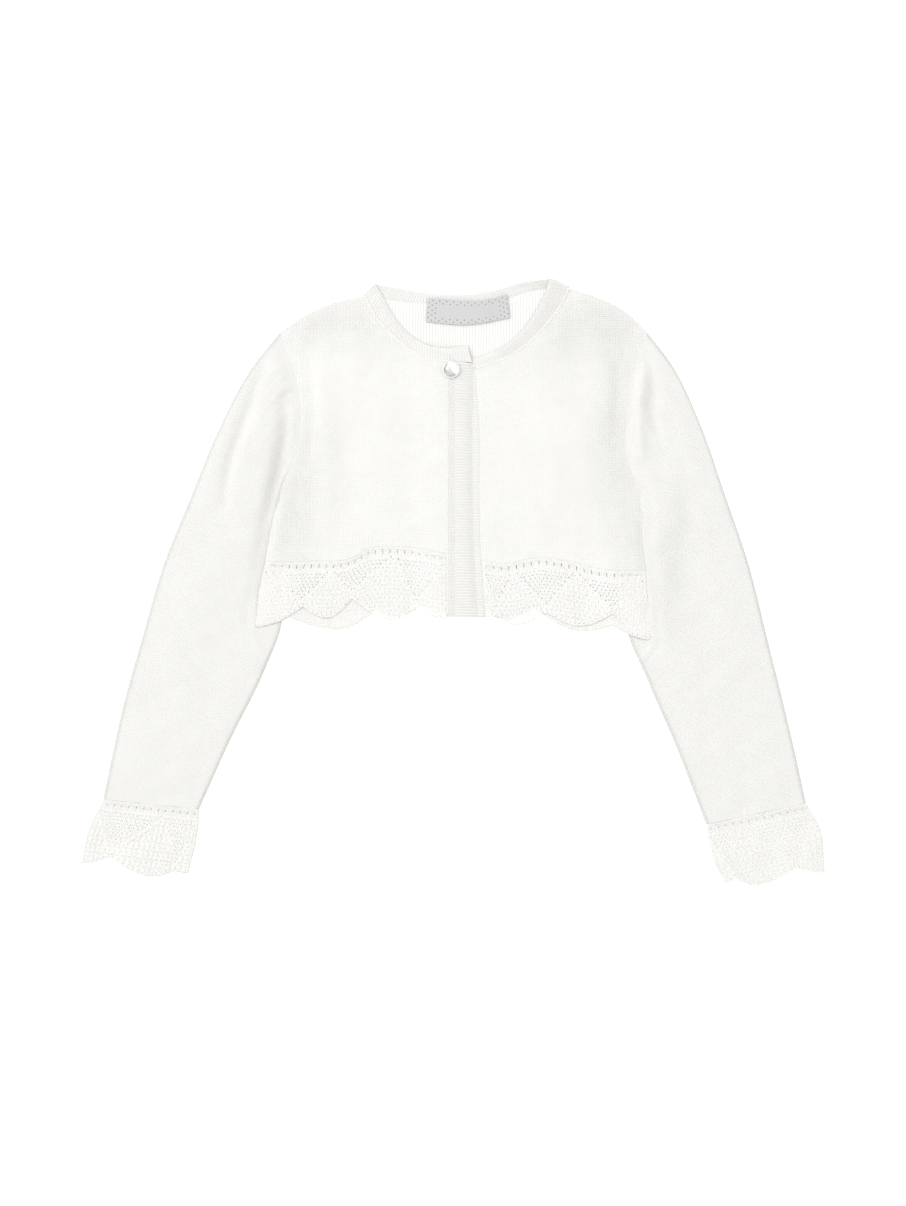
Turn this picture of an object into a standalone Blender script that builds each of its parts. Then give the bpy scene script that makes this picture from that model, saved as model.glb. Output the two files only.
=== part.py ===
"""A girl's cropped cardigan in fine cotton knit, laid flat on its back, face up.

The wearer's right front lies on top of the left one, and the inner edges of both sleeves
are tucked under the body. +Y points to the neck and +Z up, and the underside rests at z = 0.
Right and left are the wearer's. The tables are in millimetres, and the meshes in metres.
"""
import math
from collections import namedtuple

import bmesh
import bpy
import numpy as np

# Driving dimensions in millimetres
MM = 0.001
WALL = 1.4
GAP = 0.3
LAYER = WALL + GAP
SEAM_GAP = 0.4
RIB_BASE = 1.0
RIB_HEIGHT = WALL - RIB_BASE
RIB_PITCH = 2.0
LABEL_WALL = 1.0

# A tucked sleeve is two layers high. The body rises over it below the armpit.
TUCK_RISE = 2 * LAYER
TUCK_MARGIN = 6.0
TUCK_RAMP = 28.0
TUCK_STARTS_Y = 66.0
TUCK_FULL_Y = 40.0
UPPER_MARGIN = 2.0

# The right front rises beside its band to lie over the left front's band.
OVERLAP_STARTS_X = -32.0
OVERLAP_FULL_X = -9.0

# Columns of a panel from its side inwards, closer together where it rises over the sleeve
SHOULDER_STEPS = [0.0, 0.11, 0.22, 0.34, 0.5, 0.73, 1.0]
SIDE_STEPS = [0.0, 7.0, 14.0, 21.0, 31.0, 45.0, 62.0]
BACK_NECK_COLUMNS = 9
FRONT_NECK_COLUMNS = 9
SIDE_ROWS = 6
ARMHOLE_ROWS = 7
LACE_ROWS = 3
SCALLOP_STEPS = 3

# Shares across a sleeve's upper wall where its columns stand before the gathers
INNER_COLUMNS = [0.0, 0.08, 0.17, 0.29]

# Hollow inside the sleeves, above the gap between their walls
SLEEVE_CROWN = 2.4
CUFF_CROWN = 1.1
CROWN_CLEAR = 2.0
CROWN_RAMP = 16.0

# The crown has come down to the cuff's height after 1 / CROWN_FALL of the sleeve
CROWN_FALL = 1.2
FOLD_INSET = 1.2
HOLLOW_INSET = 1.7

# Gathers at the sleeve caps
GATHERS = 7
GATHER_FROM = 0.42
GATHER_TO = 0.93
GATHER_HEIGHT = 1.0
GATHER_PEAK = 9.0
GATHER_REACH = 48.0

# Reach over which a front's folds fade in from its rim
FOLD_FADE = 16.0

# Distances of the sleeve's rows from the armhole, and how far they keep its curve
BOW_REACH = 15.0
SLEEVE_STEPS = [0.0, 5.0, 10.0, 17.0, 27.0, 42.0, 64.0, 95.0, 135.0, 185.0, 240.0, 298.0, 352.0]

# Button, with a shank that passes through the upper band's buttonhole
BUTTON_X = -1.0
BUTTON_Y = 147.8
BUTTON_RADIUS = 6.1
BUTTON_RIM = 1.1
BUTTON_DOME = 3.1
SHANK_RADIUS = 1.2
DOME_INSET = 0.5
RIM_BEVEL = 0.3
BUTTON_SIDES = 20
DOME_STEPS = 5
BUTTONHOLE_SIDES = 16
MERGE_REACH = 0.05

# Colours and surface
KNIT_WHITE = (0.93, 0.92, 0.88, 1.0)
LABEL_GREY = (0.72, 0.71, 0.69, 1.0)
PEARL_GREY = (0.78, 0.78, 0.78, 1.0)
KNIT_ROUGHNESS = 0.9
LABEL_ROUGHNESS = 0.8
PEARL_ROUGHNESS = 0.2

Spot = namedtuple("Spot", "x y")
Strip = namedtuple("Strip", "seam_x seam_y free_x free_y")
Tube = namedtuple("Tube", "outer_x outer_y inner_x inner_y")
Fold = namedtuple("Fold", "x0 y0 x1 y1 width height")
Level = namedtuple("Level", "y right left")

# Body outline, from the hem seam to the armpit, round the armhole and along the shoulder
SIDE = {
    "right": [Spot(-131.2, 13.3), Spot(-126.3, 35.7), Spot(-120.0, 66.5)],
    "left": [Spot(135.1, 7.0), Spot(131.6, 32.0), Spot(131.9, 61.6)],
}
ARMHOLE = {
    "right": [Spot(-120.0, 66.5), Spot(-109.9, 90.3), Spot(-106.6, 116.0),
              Spot(-109.2, 140.0), Spot(-121.4, 173.6)],
    "left": [Spot(131.9, 61.6), Spot(122.5, 86.1), Spot(122.4, 112.0),
             Spot(126.2, 142.0), Spot(136.8, 173.6)],
}
SHOULDER = {
    "right": [Spot(-121.4, 173.6), Spot(-105.0, 184.6), Spot(-84.0, 194.2), Spot(-61.6, 199.8)],
    "left": [Spot(136.8, 173.6), Spot(121.4, 187.9), Spot(103.9, 197.4), Spot(81.5, 204.8)],
}

# Neckband, section by section: its linked seam edge and its free edge
NECKBAND_RIGHT = [
    Strip(13.9, 152.8, 10.9, 165.2),
    Strip(-3.5, 153.4, -5.5, 163.0),
    Strip(-19.5, 156.2, -17.0, 164.9),
    Strip(-34.0, 165.0, -29.0, 172.0),
    Strip(-48.0, 178.0, -39.5, 183.5),
    Strip(-56.5, 189.5, -47.3, 196.5),
    Strip(-61.6, 199.8, -53.8, 207.9),
]
NECKBAND_BACK = [
    Strip(-61.6, 199.8, -53.8, 207.9),
    Strip(-40.0, 196.4, -38.0, 205.0),
    Strip(-15.7, 194.2, -14.5, 201.2),
    Strip(9.0, 193.5, 9.0, 200.4),
    Strip(33.2, 196.3, 31.0, 204.0),
    Strip(56.0, 203.2, 52.0, 209.6),
    Strip(81.5, 204.8, 67.5, 211.4),
]
NECKBAND_LEFT = [
    Strip(81.5, 204.8, 67.5, 211.4),
    Strip(76.6, 194.6, 64.8, 203.0),
    Strip(66.0, 180.0, 57.0, 187.5),
    Strip(48.9, 163.1, 43.5, 170.5),
    Strip(31.0, 153.4, 26.0, 159.7),
    Strip(16.4, 149.2, 14.1, 156.1),
    Strip(-4.0, 148.6, -4.0, 155.8),
]
NECK_CENTRE = Spot(9.0, 180.0)

# Front bands, and the line where the left front is linked to its own band
FRONT_EDGE_X = -3.4
BAND_BOTTOM_Y = -24.8
UPPER_BAND_FREE = [Spot(17.2, BAND_BOTTOM_Y), Spot(14.6, 30.0), Spot(13.6, 95.0), Spot(14.2, 152.4)]
UNDER_BAND_FREE_X = -5.5
UNDER_BAND_SEAM = [Spot(23.4, -25.2), Spot(20.6, 14.7), Spot(19.2, 60.0), Spot(19.6, 100.0),
                   Spot(16.4, 148.3)]
UNDER_BAND_TOP_Y = 147.9

# Seams between the panels and the hem lace
HEM_SEAM = {
    "right": [Spot(-131.2, 13.3), Spot(-94.0, 14.0), Spot(-72.0, 15.6), Spot(-58.0, 23.0),
              Spot(-36.0, 24.2), Spot(FRONT_EDGE_X, 19.2)],
    "left": [Spot(20.6, 14.3), Spot(36.8, 12.4), Spot(60.0, 16.6), Spot(83.6, 13.3),
             Spot(104.0, 8.4), Spot(135.1, 7.0)],
    "back": [Spot(-131.2, 13.3), Spot(-60.0, 16.0), Spot(0.0, 15.0), Spot(70.0, 13.0),
             Spot(135.1, 7.0)],
}
LACE_SIDE = {
    "right": [Spot(-131.2, 13.3), Spot(-135.4, -6.3), Spot(-137.9, -32.5)],
    "left": [Spot(135.1, 7.0), Spot(136.8, -13.3), Spot(138.2, -40.0)],
}

# Scalloped edges: tips and notches by turns, starting and ending with a tip
SCALLOPS = {
    "right": [Spot(-137.9, -32.5), Spot(-104.6, -18.2), Spot(-88.5, -25.9), Spot(-70.3, -12.6),
              Spot(-41.6, -27.3), Spot(-26.2, -19.6), Spot(FRONT_EDGE_X, -26.4)],
    "left": [Spot(23.4, -25.2), Spot(30.4, -24.4), Spot(45.1, -30.8), Spot(66.1, -22.4),
             Spot(89.2, -31.5), Spot(111.6, -23.1), Spot(138.2, -39.6)],
    "back": [Spot(-137.9, -31.5), Spot(-113.7, -25.2), Spot(-80.1, -33.6), Spot(-53.5, -20.3),
             Spot(-39.5, -25.2), Spot(-22.8, -17.5), Spot(-1.8, -24.5), Spot(17.8, -17.5),
             Spot(36.8, -26.6), Spot(57.7, -18.9), Spot(90.6, -35.0), Spot(112.3, -31.1),
             Spot(138.2, -41.3)],
}
CUFF_SCALLOPS = {
    "right": [Spot(-185.5, -204.6), Spot(-194.5, -203.2), Spot(-210.0, -206.9),
              Spot(-240.0, -193.2), Spot(-260.4, -197.6)],
    "left": [Spot(190.8, -212.0), Spot(198.4, -208.4), Spot(211.3, -213.0),
             Spot(240.0, -200.9), Spot(260.8, -204.4)],
}

# Sleeves, from the shoulder and armpit down to the cuff seam
SLEEVE = {
    "right": [
        Tube(-121.4, 173.6, -120.0, 66.5),
        Tube(-141.0, 148.4, -123.8, 53.0),
        Tube(-163.4, 106.4, -127.0, 40.0),
        Tube(-184.4, 56.0, -127.9, 26.0),
        Tube(-201.9, 12.6, -124.2, 7.7),
        Tube(-216.6, -37.1, -118.8, -22.0),
        Tube(-232.0, -93.1, -132.7, -65.1),
        Tube(-238.3, -121.8, -153.5, -107.0),
        Tube(-244.6, -152.6, -177.4, -159.6),
    ],
    "left": [
        Tube(136.8, 173.6, 131.9, 61.6),
        Tube(153.6, 151.2, 132.6, 49.0),
        Tube(172.5, 112.0, 132.6, 36.0),
        Tube(190.8, 60.2, 131.2, 22.0),
        Tube(206.8, 13.3, 126.8, 2.0),
        Tube(220.1, -39.2, 121.4, -27.5),
        Tube(234.1, -95.9, 136.8, -70.0),
        Tube(240.4, -123.2, 155.5, -113.5),
        Tube(247.4, -155.4, 177.4, -170.1),
    ],
}
CUFF = {
    "right": [
        Tube(-244.6, -152.6, -177.4, -159.6),
        Tube(-254.6, -173.0, -179.4, -178.0),
        Tube(-260.4, -197.6, -185.5, -204.6),
    ],
    "left": [
        Tube(247.4, -155.4, 177.4, -170.1),
        Tube(257.0, -172.0, 181.6, -192.0),
        Tube(260.8, -204.4, 190.8, -212.0),
    ],
}

# How far each tucked sleeve edge reaches under the body, from the hem up
TUCKED = [
    Level(-60.0, -118.0, 121.0),
    Level(-22.0, -118.6, 121.4),
    Level(8.0, -124.2, 127.5),
    Level(26.0, -127.9, 131.6),
    Level(70.0, -127.9, 133.6),
]

# Outline of the body above the sleeves, from below the hem up
BODY_EDGE = [
    Level(-95.0, -95.0, 100.0),
    Level(-64.0, -120.0, 124.0),
    Level(-45.0, -135.0, 138.6),
    Level(-33.0, -138.2, 138.4),
    Level(13.0, -131.2, 134.8),
    Level(36.0, -126.3, 131.6),
    Level(66.0, -120.0, 129.5),
    Level(90.0, -109.9, 122.5),
    Level(116.0, -106.6, 122.4),
    Level(140.0, -109.2, 126.2),
    Level(174.0, -121.4, 136.8),
]

# Woven label
LABEL_TOP = [Spot(-17.1, 198.1), Spot(9.4, 196.2), Spot(23.0, 196.4), Spot(38.1, 200.6)]
LABEL_BOTTOM = [Spot(-18.5, 181.3), Spot(9.4, 179.2), Spot(40.2, 184.1)]
LABEL_COLUMNS = 6

# Largest soft folds
FRONT_FOLDS = {
    "right": [
        Fold(-90.0, 140.0, -88.0, 34.0, 9.0, 1.7),
        Fold(-52.0, 118.0, -46.0, 48.0, 14.0, 1.0),
    ],
    "left": [
        Fold(102.0, 172.0, 110.0, 112.0, 8.0, 1.6),
        Fold(64.0, 128.0, 70.0, 44.0, 15.0, 1.2),
    ],
}
SLEEVE_FOLDS = {
    "right": [
        Fold(-127.0, 148.0, -152.0, 70.0, 6.5, 1.2),
        Fold(-176.0, 20.0, -196.0, -60.0, 16.0, 0.8),
    ],
    "left": [
        Fold(133.0, 150.0, 131.0, 92.0, 4.5, 1.4),
        Fold(150.0, 140.0, 178.0, 60.0, 8.0, 1.1),
        Fold(182.0, 10.0, 200.0, -70.0, 16.0, 0.8),
    ],
}


def smoothstep(value):
    """Rises from 0 to 1 with level ends."""
    share = np.clip(value, 0.0, 1.0)
    return share * share * (3.0 - 2.0 * share)


def curve(points, samples=241):
    """A smooth line through the points, as closely spaced plan points."""
    knots = np.array(points, float)
    steps = np.linalg.norm(np.diff(knots, axis=0), axis=1)
    place = np.concatenate([[0.0], np.cumsum(steps)])
    slopes = np.gradient(knots, place, axis=0)
    at = np.linspace(0.0, place[-1], samples)
    index = np.clip(np.searchsorted(place, at, side="right") - 1, 0, len(knots) - 2)
    length = (place[index + 1] - place[index])[:, None]
    share = (at - place[index])[:, None] / length
    start_weight = 2 * share**3 - 3 * share**2 + 1
    start_slope = share**3 - 2 * share**2 + share
    end_slope = share**3 - share**2
    return (start_weight * knots[index] + (1 - start_weight) * knots[index + 1]
            + length * (start_slope * slopes[index] + end_slope * slopes[index + 1]))


def length_shares(line):
    """Each point's share of the line's length."""
    steps = np.linalg.norm(np.diff(line, axis=0), axis=1)
    total = np.concatenate([[0.0], np.cumsum(steps)])
    return total / total[-1]


def line_length(line):
    """Length of a line of points."""
    return np.linalg.norm(np.diff(line, axis=0), axis=1).sum()


def along(line, shares):
    """Points of a line at shares of its length."""
    places = length_shares(line)
    return np.stack([np.interp(shares, places, line[:, axis]) for axis in (0, 1)], axis=-1)


def spaced(line, segments):
    """Evenly spaced points of a line."""
    return along(line, np.linspace(0.0, 1.0, segments + 1))


def joined(first, second):
    """Two point rows that meet at a corner, as one row."""
    return np.vstack([first[:-1], second])


def offset(line, distance):
    """A line moved sideways, to the left of its direction for a positive distance."""
    heading = np.gradient(line, axis=0)
    heading /= np.linalg.norm(heading, axis=1)[:, None]
    normal = np.stack([-heading[:, 1], heading[:, 0]], axis=-1)
    return line + distance * normal


def patch(bottom, top, left, right):
    """Plan grid between four point rows that meet at the corners."""
    across = (length_shares(bottom) + length_shares(top)) / 2
    up = (length_shares(left) + length_shares(right)) / 2
    u = across[None, :, None]
    v = up[:, None, None]
    between_ends = (1 - v) * bottom[None] + v * top[None]
    between_sides = (1 - u) * left[:, None] + u * right[:, None]
    corners = ((1 - v) * ((1 - u) * bottom[0] + u * bottom[-1])
               + v * ((1 - u) * top[0] + u * top[-1]))
    return between_ends + between_sides - corners


def level_x(table, side, y):
    """The x that a table of levels gives at each y."""
    return np.interp(y, [row.y for row in table], [getattr(row, side) for row in table])


def tuck_rise(plan, margin=TUCK_MARGIN):
    """Height that a body layer gains over the tucked sleeve edges."""
    x, y = plan[..., 0], plan[..., 1]
    right_reach = level_x(TUCKED, "right", y) + margin
    left_reach = level_x(TUCKED, "left", y) - margin
    inside = np.where(x < 0.0, x - right_reach, left_reach - x)
    sideways = smoothstep(1.0 - inside / TUCK_RAMP)
    upward = smoothstep((TUCK_STARTS_Y - y) / (TUCK_STARTS_Y - TUCK_FULL_Y))
    return TUCK_RISE * sideways * upward


def overlap_rise(plan):
    """Height that the right front gains to lie over the left front's band."""
    run = OVERLAP_FULL_X - OVERLAP_STARTS_X
    return LAYER * smoothstep((plan[..., 0] - OVERLAP_STARTS_X) / run)


def fold_height(plan, folds):
    """Height that soft folds add."""
    height = np.zeros(plan.shape[:-1])
    for fold in folds:
        start = np.array([fold.x0, fold.y0])
        run = np.array([fold.x1, fold.y1]) - start
        share = np.clip(((plan - start) @ run) / (run @ run), 0.0, 1.0)
        apart = np.linalg.norm(plan - start - share[..., None] * run, axis=-1)
        height += fold.height * np.exp(-((apart / fold.width) ** 2))
    return height


def seam_fade(plan):
    """0 on the rim of a panel's plan grid, rising to 1 further in."""
    rim = np.concatenate([plan[0], plan[-1], plan[:, 0], plan[:, -1]])
    apart = np.linalg.norm(plan[:, :, None] - rim[None, None], axis=-1).min(axis=-1)
    return smoothstep(apart / FOLD_FADE)


def material(name, colour, roughness):
    """A plain Principled material."""
    paint = bpy.data.materials.new(name)
    paint.use_nodes = True
    shader = paint.node_tree.nodes["Principled BSDF"]
    shader.inputs["Base Color"].default_value = colour
    shader.inputs["Roughness"].default_value = roughness
    paint.diffuse_color = colour
    return paint


def knit(name):
    """The plain material of a knitted piece."""
    return material(name, KNIT_WHITE, KNIT_ROUGHNESS)


def add_object(name, shape, paint, collection):
    """Makes an object from a bmesh, facing out and smooth."""
    bmesh.ops.recalc_face_normals(shape, faces=shape.faces)
    mesh = bpy.data.meshes.new(name)
    shape.to_mesh(mesh)
    shape.free()
    mesh.shade_smooth()
    mesh.materials.append(paint)
    piece = bpy.data.objects.new(name, mesh)
    collection.objects.link(piece)
    return piece


def point_rows(shape, plan, height):
    """Vertices of a plan grid at the given heights."""
    return [[shape.verts.new((x * MM, y * MM, z * MM)) for (x, y), z in zip(row, heights)]
            for row, heights in zip(plan, height)]


def skin(shape, rows):
    """Faces between neighbouring rows of vertices."""
    for row, following in zip(rows[:-1], rows[1:]):
        for j in range(len(row) - 1):
            shape.faces.new((row[j], row[j + 1], following[j + 1], following[j]))


def rim_of(rows):
    """The vertices round a grid, in order."""
    return (rows[0] + [row[-1] for row in rows[1:-1]] + rows[-1][::-1]
            + [row[0] for row in rows[-2:0:-1]])


def slab(name, plan, under, over, paint, collection):
    """A closed cloth wall over a plan grid, between two heights."""
    shape = bmesh.new()
    lower = point_rows(shape, plan, under)
    upper = point_rows(shape, plan, over)
    skin(shape, [row[::-1] for row in lower])
    skin(shape, upper)
    low_rim, high_rim = rim_of(lower), rim_of(upper)
    for k in range(len(low_rim)):
        after = (k + 1) % len(low_rim)
        shape.faces.new((low_rim[k], low_rim[after], high_rim[after], high_rim[k]))
    return add_object(name, shape, paint, collection)


def pulled_in(plan, inset):
    """A plan grid with its first and last columns moved inwards."""
    moved = plan.copy()
    for edge, beside in ((0, 1), (-1, -2)):
        inward = plan[:, beside] - plan[:, edge]
        inward /= np.linalg.norm(inward, axis=1)[:, None]
        moved[:, edge] += inset * inward
    return moved


def tube_rings(shape, lower_plan, upper_plan, inset, heights, fold_out):
    """Rings round a flattened tube: lower wall, outer fold, upper wall, inner fold."""
    low_z, fold_z, high_z = heights
    low = pulled_in(lower_plan, inset)
    high = pulled_in(upper_plan, inset)
    folds = pulled_in(upper_plan, fold_out)
    rings = []
    for i in range(len(low)):
        ring = [(x, y, low_z) for x, y in low[i]]
        ring.append((*folds[i, -1], fold_z))
        ring += [(x, y, z) for (x, y), z in zip(high[i, ::-1], high_z[i, ::-1])]
        ring.append((*folds[i, 0], fold_z))
        rings.append([shape.verts.new((x * MM, y * MM, z * MM)) for x, y, z in ring])
    return rings


def flat_tube(name, lower_plan, upper_plan, crown, paint, collection):
    """A tube of cloth lying flat, open at both ends, hollow under its crown."""
    shape = bmesh.new()
    middle = WALL + GAP / 2
    outside = tube_rings(shape, lower_plan, upper_plan, FOLD_INSET,
                         (0.0, middle, LAYER + WALL + crown), 0.0)
    inside = tube_rings(shape, lower_plan, upper_plan, HOLLOW_INSET,
                        (WALL, middle, LAYER + crown), HOLLOW_INSET - GAP)
    skin(shape, [ring + ring[:1] for ring in outside])
    skin(shape, [(ring + ring[:1])[::-1] for ring in inside])
    for out_ring, in_ring in ((outside[0], inside[0]), (outside[-1], inside[-1])):
        skin(shape, [out_ring + out_ring[:1], in_ring + in_ring[:1]])
    return add_object(name, shape, paint, collection)


def scallop_row(knots, per_step):
    """Plan points along a scalloped edge: round at the tips, sharp at the notches."""
    points = [knots[0]]
    for k, (start, end) in enumerate(zip(knots[:-1], knots[1:])):
        to_notch = k % 2 == 0
        for step in range(1, per_step + 1):
            share = step / per_step
            if to_notch:
                rise = 1 - math.cos(share * math.pi / 2)
            else:
                rise = math.sin(share * math.pi / 2)
            points.append(Spot(start.x + share * (end.x - start.x),
                               start.y + rise * (end.y - start.y)))
    return np.array(points)


def body_edge(side):
    """Plan points up a panel's side seam and round its armhole."""
    return joined(spaced(curve(SIDE[side]), SIDE_ROWS),
                  spaced(curve(ARMHOLE[side]), ARMHOLE_ROWS))


def under_band_seam(low_y, high_y, segments):
    """Points up the line where the left front and its lace meet their band."""
    line = curve(UNDER_BAND_SEAM)
    y = np.linspace(low_y, high_y, segments + 1)
    return np.stack([np.interp(y, line[:, 1], line[:, 0]), y], axis=-1)


def strip_edges(table):
    """The seam edge and the free edge of a ribbed strip, as smooth lines."""
    seam = curve([(row.seam_x, row.seam_y) for row in table])
    free = curve([(row.free_x, row.free_y) for row in table])
    return seam, free


def neck_seam(table, from_share, to_share, segments, side):
    """The panel's own side of a neckband seam."""
    seam, _ = strip_edges(table)
    line = along(seam, np.linspace(from_share, to_share, segments + 1))
    return offset(line, side * SEAM_GAP)


def make_back(paint, collection):
    """The back panel, visible in the neck opening."""
    right, left = body_edge("right"), body_edge("left")
    neck = neck_seam(NECKBAND_BACK, 0.0, 1.0, BACK_NECK_COLUMNS, -1)
    shoulder_right = along(curve(SHOULDER["right"]), SHOULDER_STEPS)
    shoulder_left = along(curve(SHOULDER["left"]), SHOULDER_STEPS)[::-1]
    neck[0], neck[-1] = shoulder_right[-1], shoulder_left[0]
    top = joined(joined(shoulder_right, neck), shoulder_left)
    seam = curve(HEM_SEAM["back"])
    inset = np.array(SIDE_STEPS) / line_length(seam)
    middle = np.linspace(inset[-1], 1.0 - inset[-1], BACK_NECK_COLUMNS + 1)
    bottom = along(seam, np.concatenate([inset[:-1], middle, 1.0 - inset[-2::-1]]))
    plan = patch(bottom, top, right, left)
    under = tuck_rise(plan)
    return slab("back", plan, under, under + WALL, paint, collection)


def make_front(side, paint, collection):
    """A front panel, with its soft folds."""
    edge = body_edge(side)
    shoulder = along(curve(SHOULDER[side]), SHOULDER_STEPS)
    if side == "right":
        seam, _ = strip_edges(NECKBAND_RIGHT)
        meets_band = np.interp(-FRONT_EDGE_X, -seam[:, 0], length_shares(seam))
        neck = neck_seam(NECKBAND_RIGHT, 1.0, meets_band, FRONT_NECK_COLUMNS, -1)
        neck[-1, 0] = FRONT_EDGE_X
    else:
        seam, _ = strip_edges(NECKBAND_LEFT)
        meets_band = np.interp(-UNDER_BAND_SEAM[-1].x, -seam[:, 0], length_shares(seam))
        neck = neck_seam(NECKBAND_LEFT, 0.0, meets_band, FRONT_NECK_COLUMNS, 1)
    neck[0] = shoulder[-1]
    top = joined(shoulder, neck)
    seam = curve(HEM_SEAM[side]) if side == "right" else curve(HEM_SEAM[side])[::-1]
    inset = np.array(SIDE_STEPS) / line_length(seam)
    rest = np.linspace(inset[-1], 1.0, FRONT_NECK_COLUMNS + 1)
    hem = along(seam, np.concatenate([inset[:-1], rest]))
    if side == "right":
        front_edge = np.array([hem[-1], neck[-1]])
    else:
        front_edge = under_band_seam(hem[-1, 1], neck[-1, 1], 2 * SIDE_ROWS)
        front_edge[0], front_edge[-1] = hem[-1], neck[-1]
    plan = patch(hem, top, edge, along(front_edge, length_shares(edge)))
    under = LAYER + tuck_rise(plan, TUCK_MARGIN + UPPER_MARGIN)
    under += fold_height(plan, FRONT_FOLDS[side]) * seam_fade(plan)
    if side == "right":
        under += overlap_rise(plan)
    return slab("front_" + side, plan, under, under + WALL, paint, collection)


def from_point(line, start):
    """A line bent so that it leaves from the given point."""
    place = length_shares(line) * line_length(line)
    return line + np.exp(-place / BOW_REACH)[:, None] * (start - line[0])


def sleeve_plan(armhole, inner, outer, across):
    """Plan grid of a sleeve: straight across, except near the armhole, which its rows follow."""
    steps = np.array(SLEEVE_STEPS)
    folds_in = along(inner, steps / steps[-1])[:, None]
    folds_out = along(outer, steps / steps[-1])[:, None]
    straight = folds_in + across[None, :, None] * (folds_out - folds_in)
    bow = along(armhole, across) - straight[0]
    return straight + np.exp(-steps / BOW_REACH)[:, None, None] * bow


def make_sleeve(side, paint, collection):
    """A flattened sleeve with a gathered cap and its inner edge tucked under the body."""
    table = SLEEVE[side]
    outer = curve([(row.outer_x, row.outer_y) for row in table])
    inner = curve([(row.inner_x, row.inner_y) for row in table])
    away = 1.0 if side == "right" else -1.0
    armhole = offset(spaced(curve(ARMHOLE[side]), ARMHOLE_ROWS), away * SEAM_GAP)
    inner, outer = from_point(inner, armhole[0]), from_point(outer, armhole[-1])
    gather_steps = np.linspace(GATHER_FROM, GATHER_TO, 2 * GATHERS + 1)
    upper_across = np.concatenate([INNER_COLUMNS, gather_steps, [1.0]])
    lower_across = np.linspace(0.0, 1.0, ARMHOLE_ROWS + 1)
    lower_plan = sleeve_plan(armhole, inner, outer, lower_across)
    upper_plan = sleeve_plan(armhole, inner, outer, upper_across)
    return flat_tube("sleeve_" + side, lower_plan, upper_plan,
                     sleeve_crown(side, upper_plan, upper_across), paint, collection)


def sleeve_crown(side, plan, across):
    """Height of the hollow in a sleeve: rounded between the folds, flat where it is tucked."""
    x, y = plan[..., 0], plan[..., 1]
    edge = level_x(BODY_EDGE, side, y)
    outside = edge - x if side == "right" else x - edge
    clear = smoothstep((outside - CROWN_CLEAR) / CROWN_RAMP)
    arch = np.sqrt(np.sin(np.pi * across))[None, :]
    steps = np.linalg.norm(np.diff(plan, axis=0), axis=-1)
    run = np.vstack([np.zeros(plan.shape[1]), np.cumsum(steps, axis=0)])
    to_cuff = smoothstep(run / run[-1] * CROWN_FALL)
    crown = (SLEEVE_CROWN + (CUFF_CROWN - SLEEVE_CROWN) * to_cuff) * arch
    rise = smoothstep(run / GATHER_PEAK) * (1 - smoothstep((run - GATHER_PEAK) / GATHER_REACH))
    phase = (across - GATHER_FROM) / (GATHER_TO - GATHER_FROM)
    inside = (phase >= 0.0) & (phase <= 1.0)
    waves = np.where(inside, np.sin(np.pi * GATHERS * phase) ** 2, 0.0)
    gathers = GATHER_HEIGHT * rise * waves[None, :]
    folds = fold_height(plan, SLEEVE_FOLDS[side]) * arch
    return (crown + gathers + folds) * clear


def make_cuff(side, paint, collection):
    """A flared cuff of lace, scalloped at its lower edge."""
    table = CUFF[side]
    outer = curve([(row.outer_x, row.outer_y) for row in table])
    inner = curve([(row.inner_x, row.inner_y) for row in table])
    edge = scallop_row(CUFF_SCALLOPS[side], SCALLOP_STEPS)
    seam = spaced(np.array([inner[0], outer[0]]), len(edge) - 1)
    down = np.linspace(0.0, 1.0, LACE_ROWS + 1)
    plan = patch(seam, edge, along(inner, down), along(outer, down))
    plan[0, :, 1] -= GAP
    across = length_shares(edge)
    crown = CUFF_CROWN * np.sqrt(np.sin(np.pi * across))[None, :] * np.ones((len(down), 1))
    return flat_tube("cuff_lace_" + side, plan, plan, crown, paint, collection)


def make_hem_lace(side, paint, collection):
    """A scalloped strip of lace below one panel."""
    edge = scallop_row(SCALLOPS[side], SCALLOP_STEPS)
    shares = (edge[:, 0] - edge[0, 0]) / (edge[-1, 0] - edge[0, 0])
    seam = along(curve(HEM_SEAM[side]), shares)
    down = np.linspace(0.0, 1.0, LACE_ROWS + 1)
    if side == "right":
        left = along(curve(LACE_SIDE["right"]), down)
        right = along(np.array([seam[-1], edge[-1]]), down)
    elif side == "left":
        left = under_band_seam(edge[0, 1], seam[0, 1], len(down) - 1)[::-1]
        right = along(curve(LACE_SIDE["left"]), down)
    else:
        left = along(curve(LACE_SIDE["right"]), down)
        right = along(curve(LACE_SIDE["left"]), down)
    left[0], left[-1] = seam[0], edge[0]
    right[0], right[-1] = seam[-1], edge[-1]
    plan = patch(seam, edge, left, right)
    plan[0, :, 1] -= SEAM_GAP
    if side == "back":
        under = tuck_rise(plan)
    else:
        under = LAYER + tuck_rise(plan, TUCK_MARGIN + UPPER_MARGIN)
    if side == "right":
        under += overlap_rise(plan)
    return slab("hem_lace_" + side, plan, under, under + WALL, paint, collection)


def rib_tops(count):
    """Ribs along a strip: every other section is raised."""
    return RIB_BASE + RIB_HEIGHT * (np.arange(count) % 2)


def reversed_seam(table):
    """A neckband seam as rising -x values and their y, for reading a height at an x."""
    seam, _ = strip_edges(table)
    return -seam[:, 0], seam[:, 1]


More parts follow.
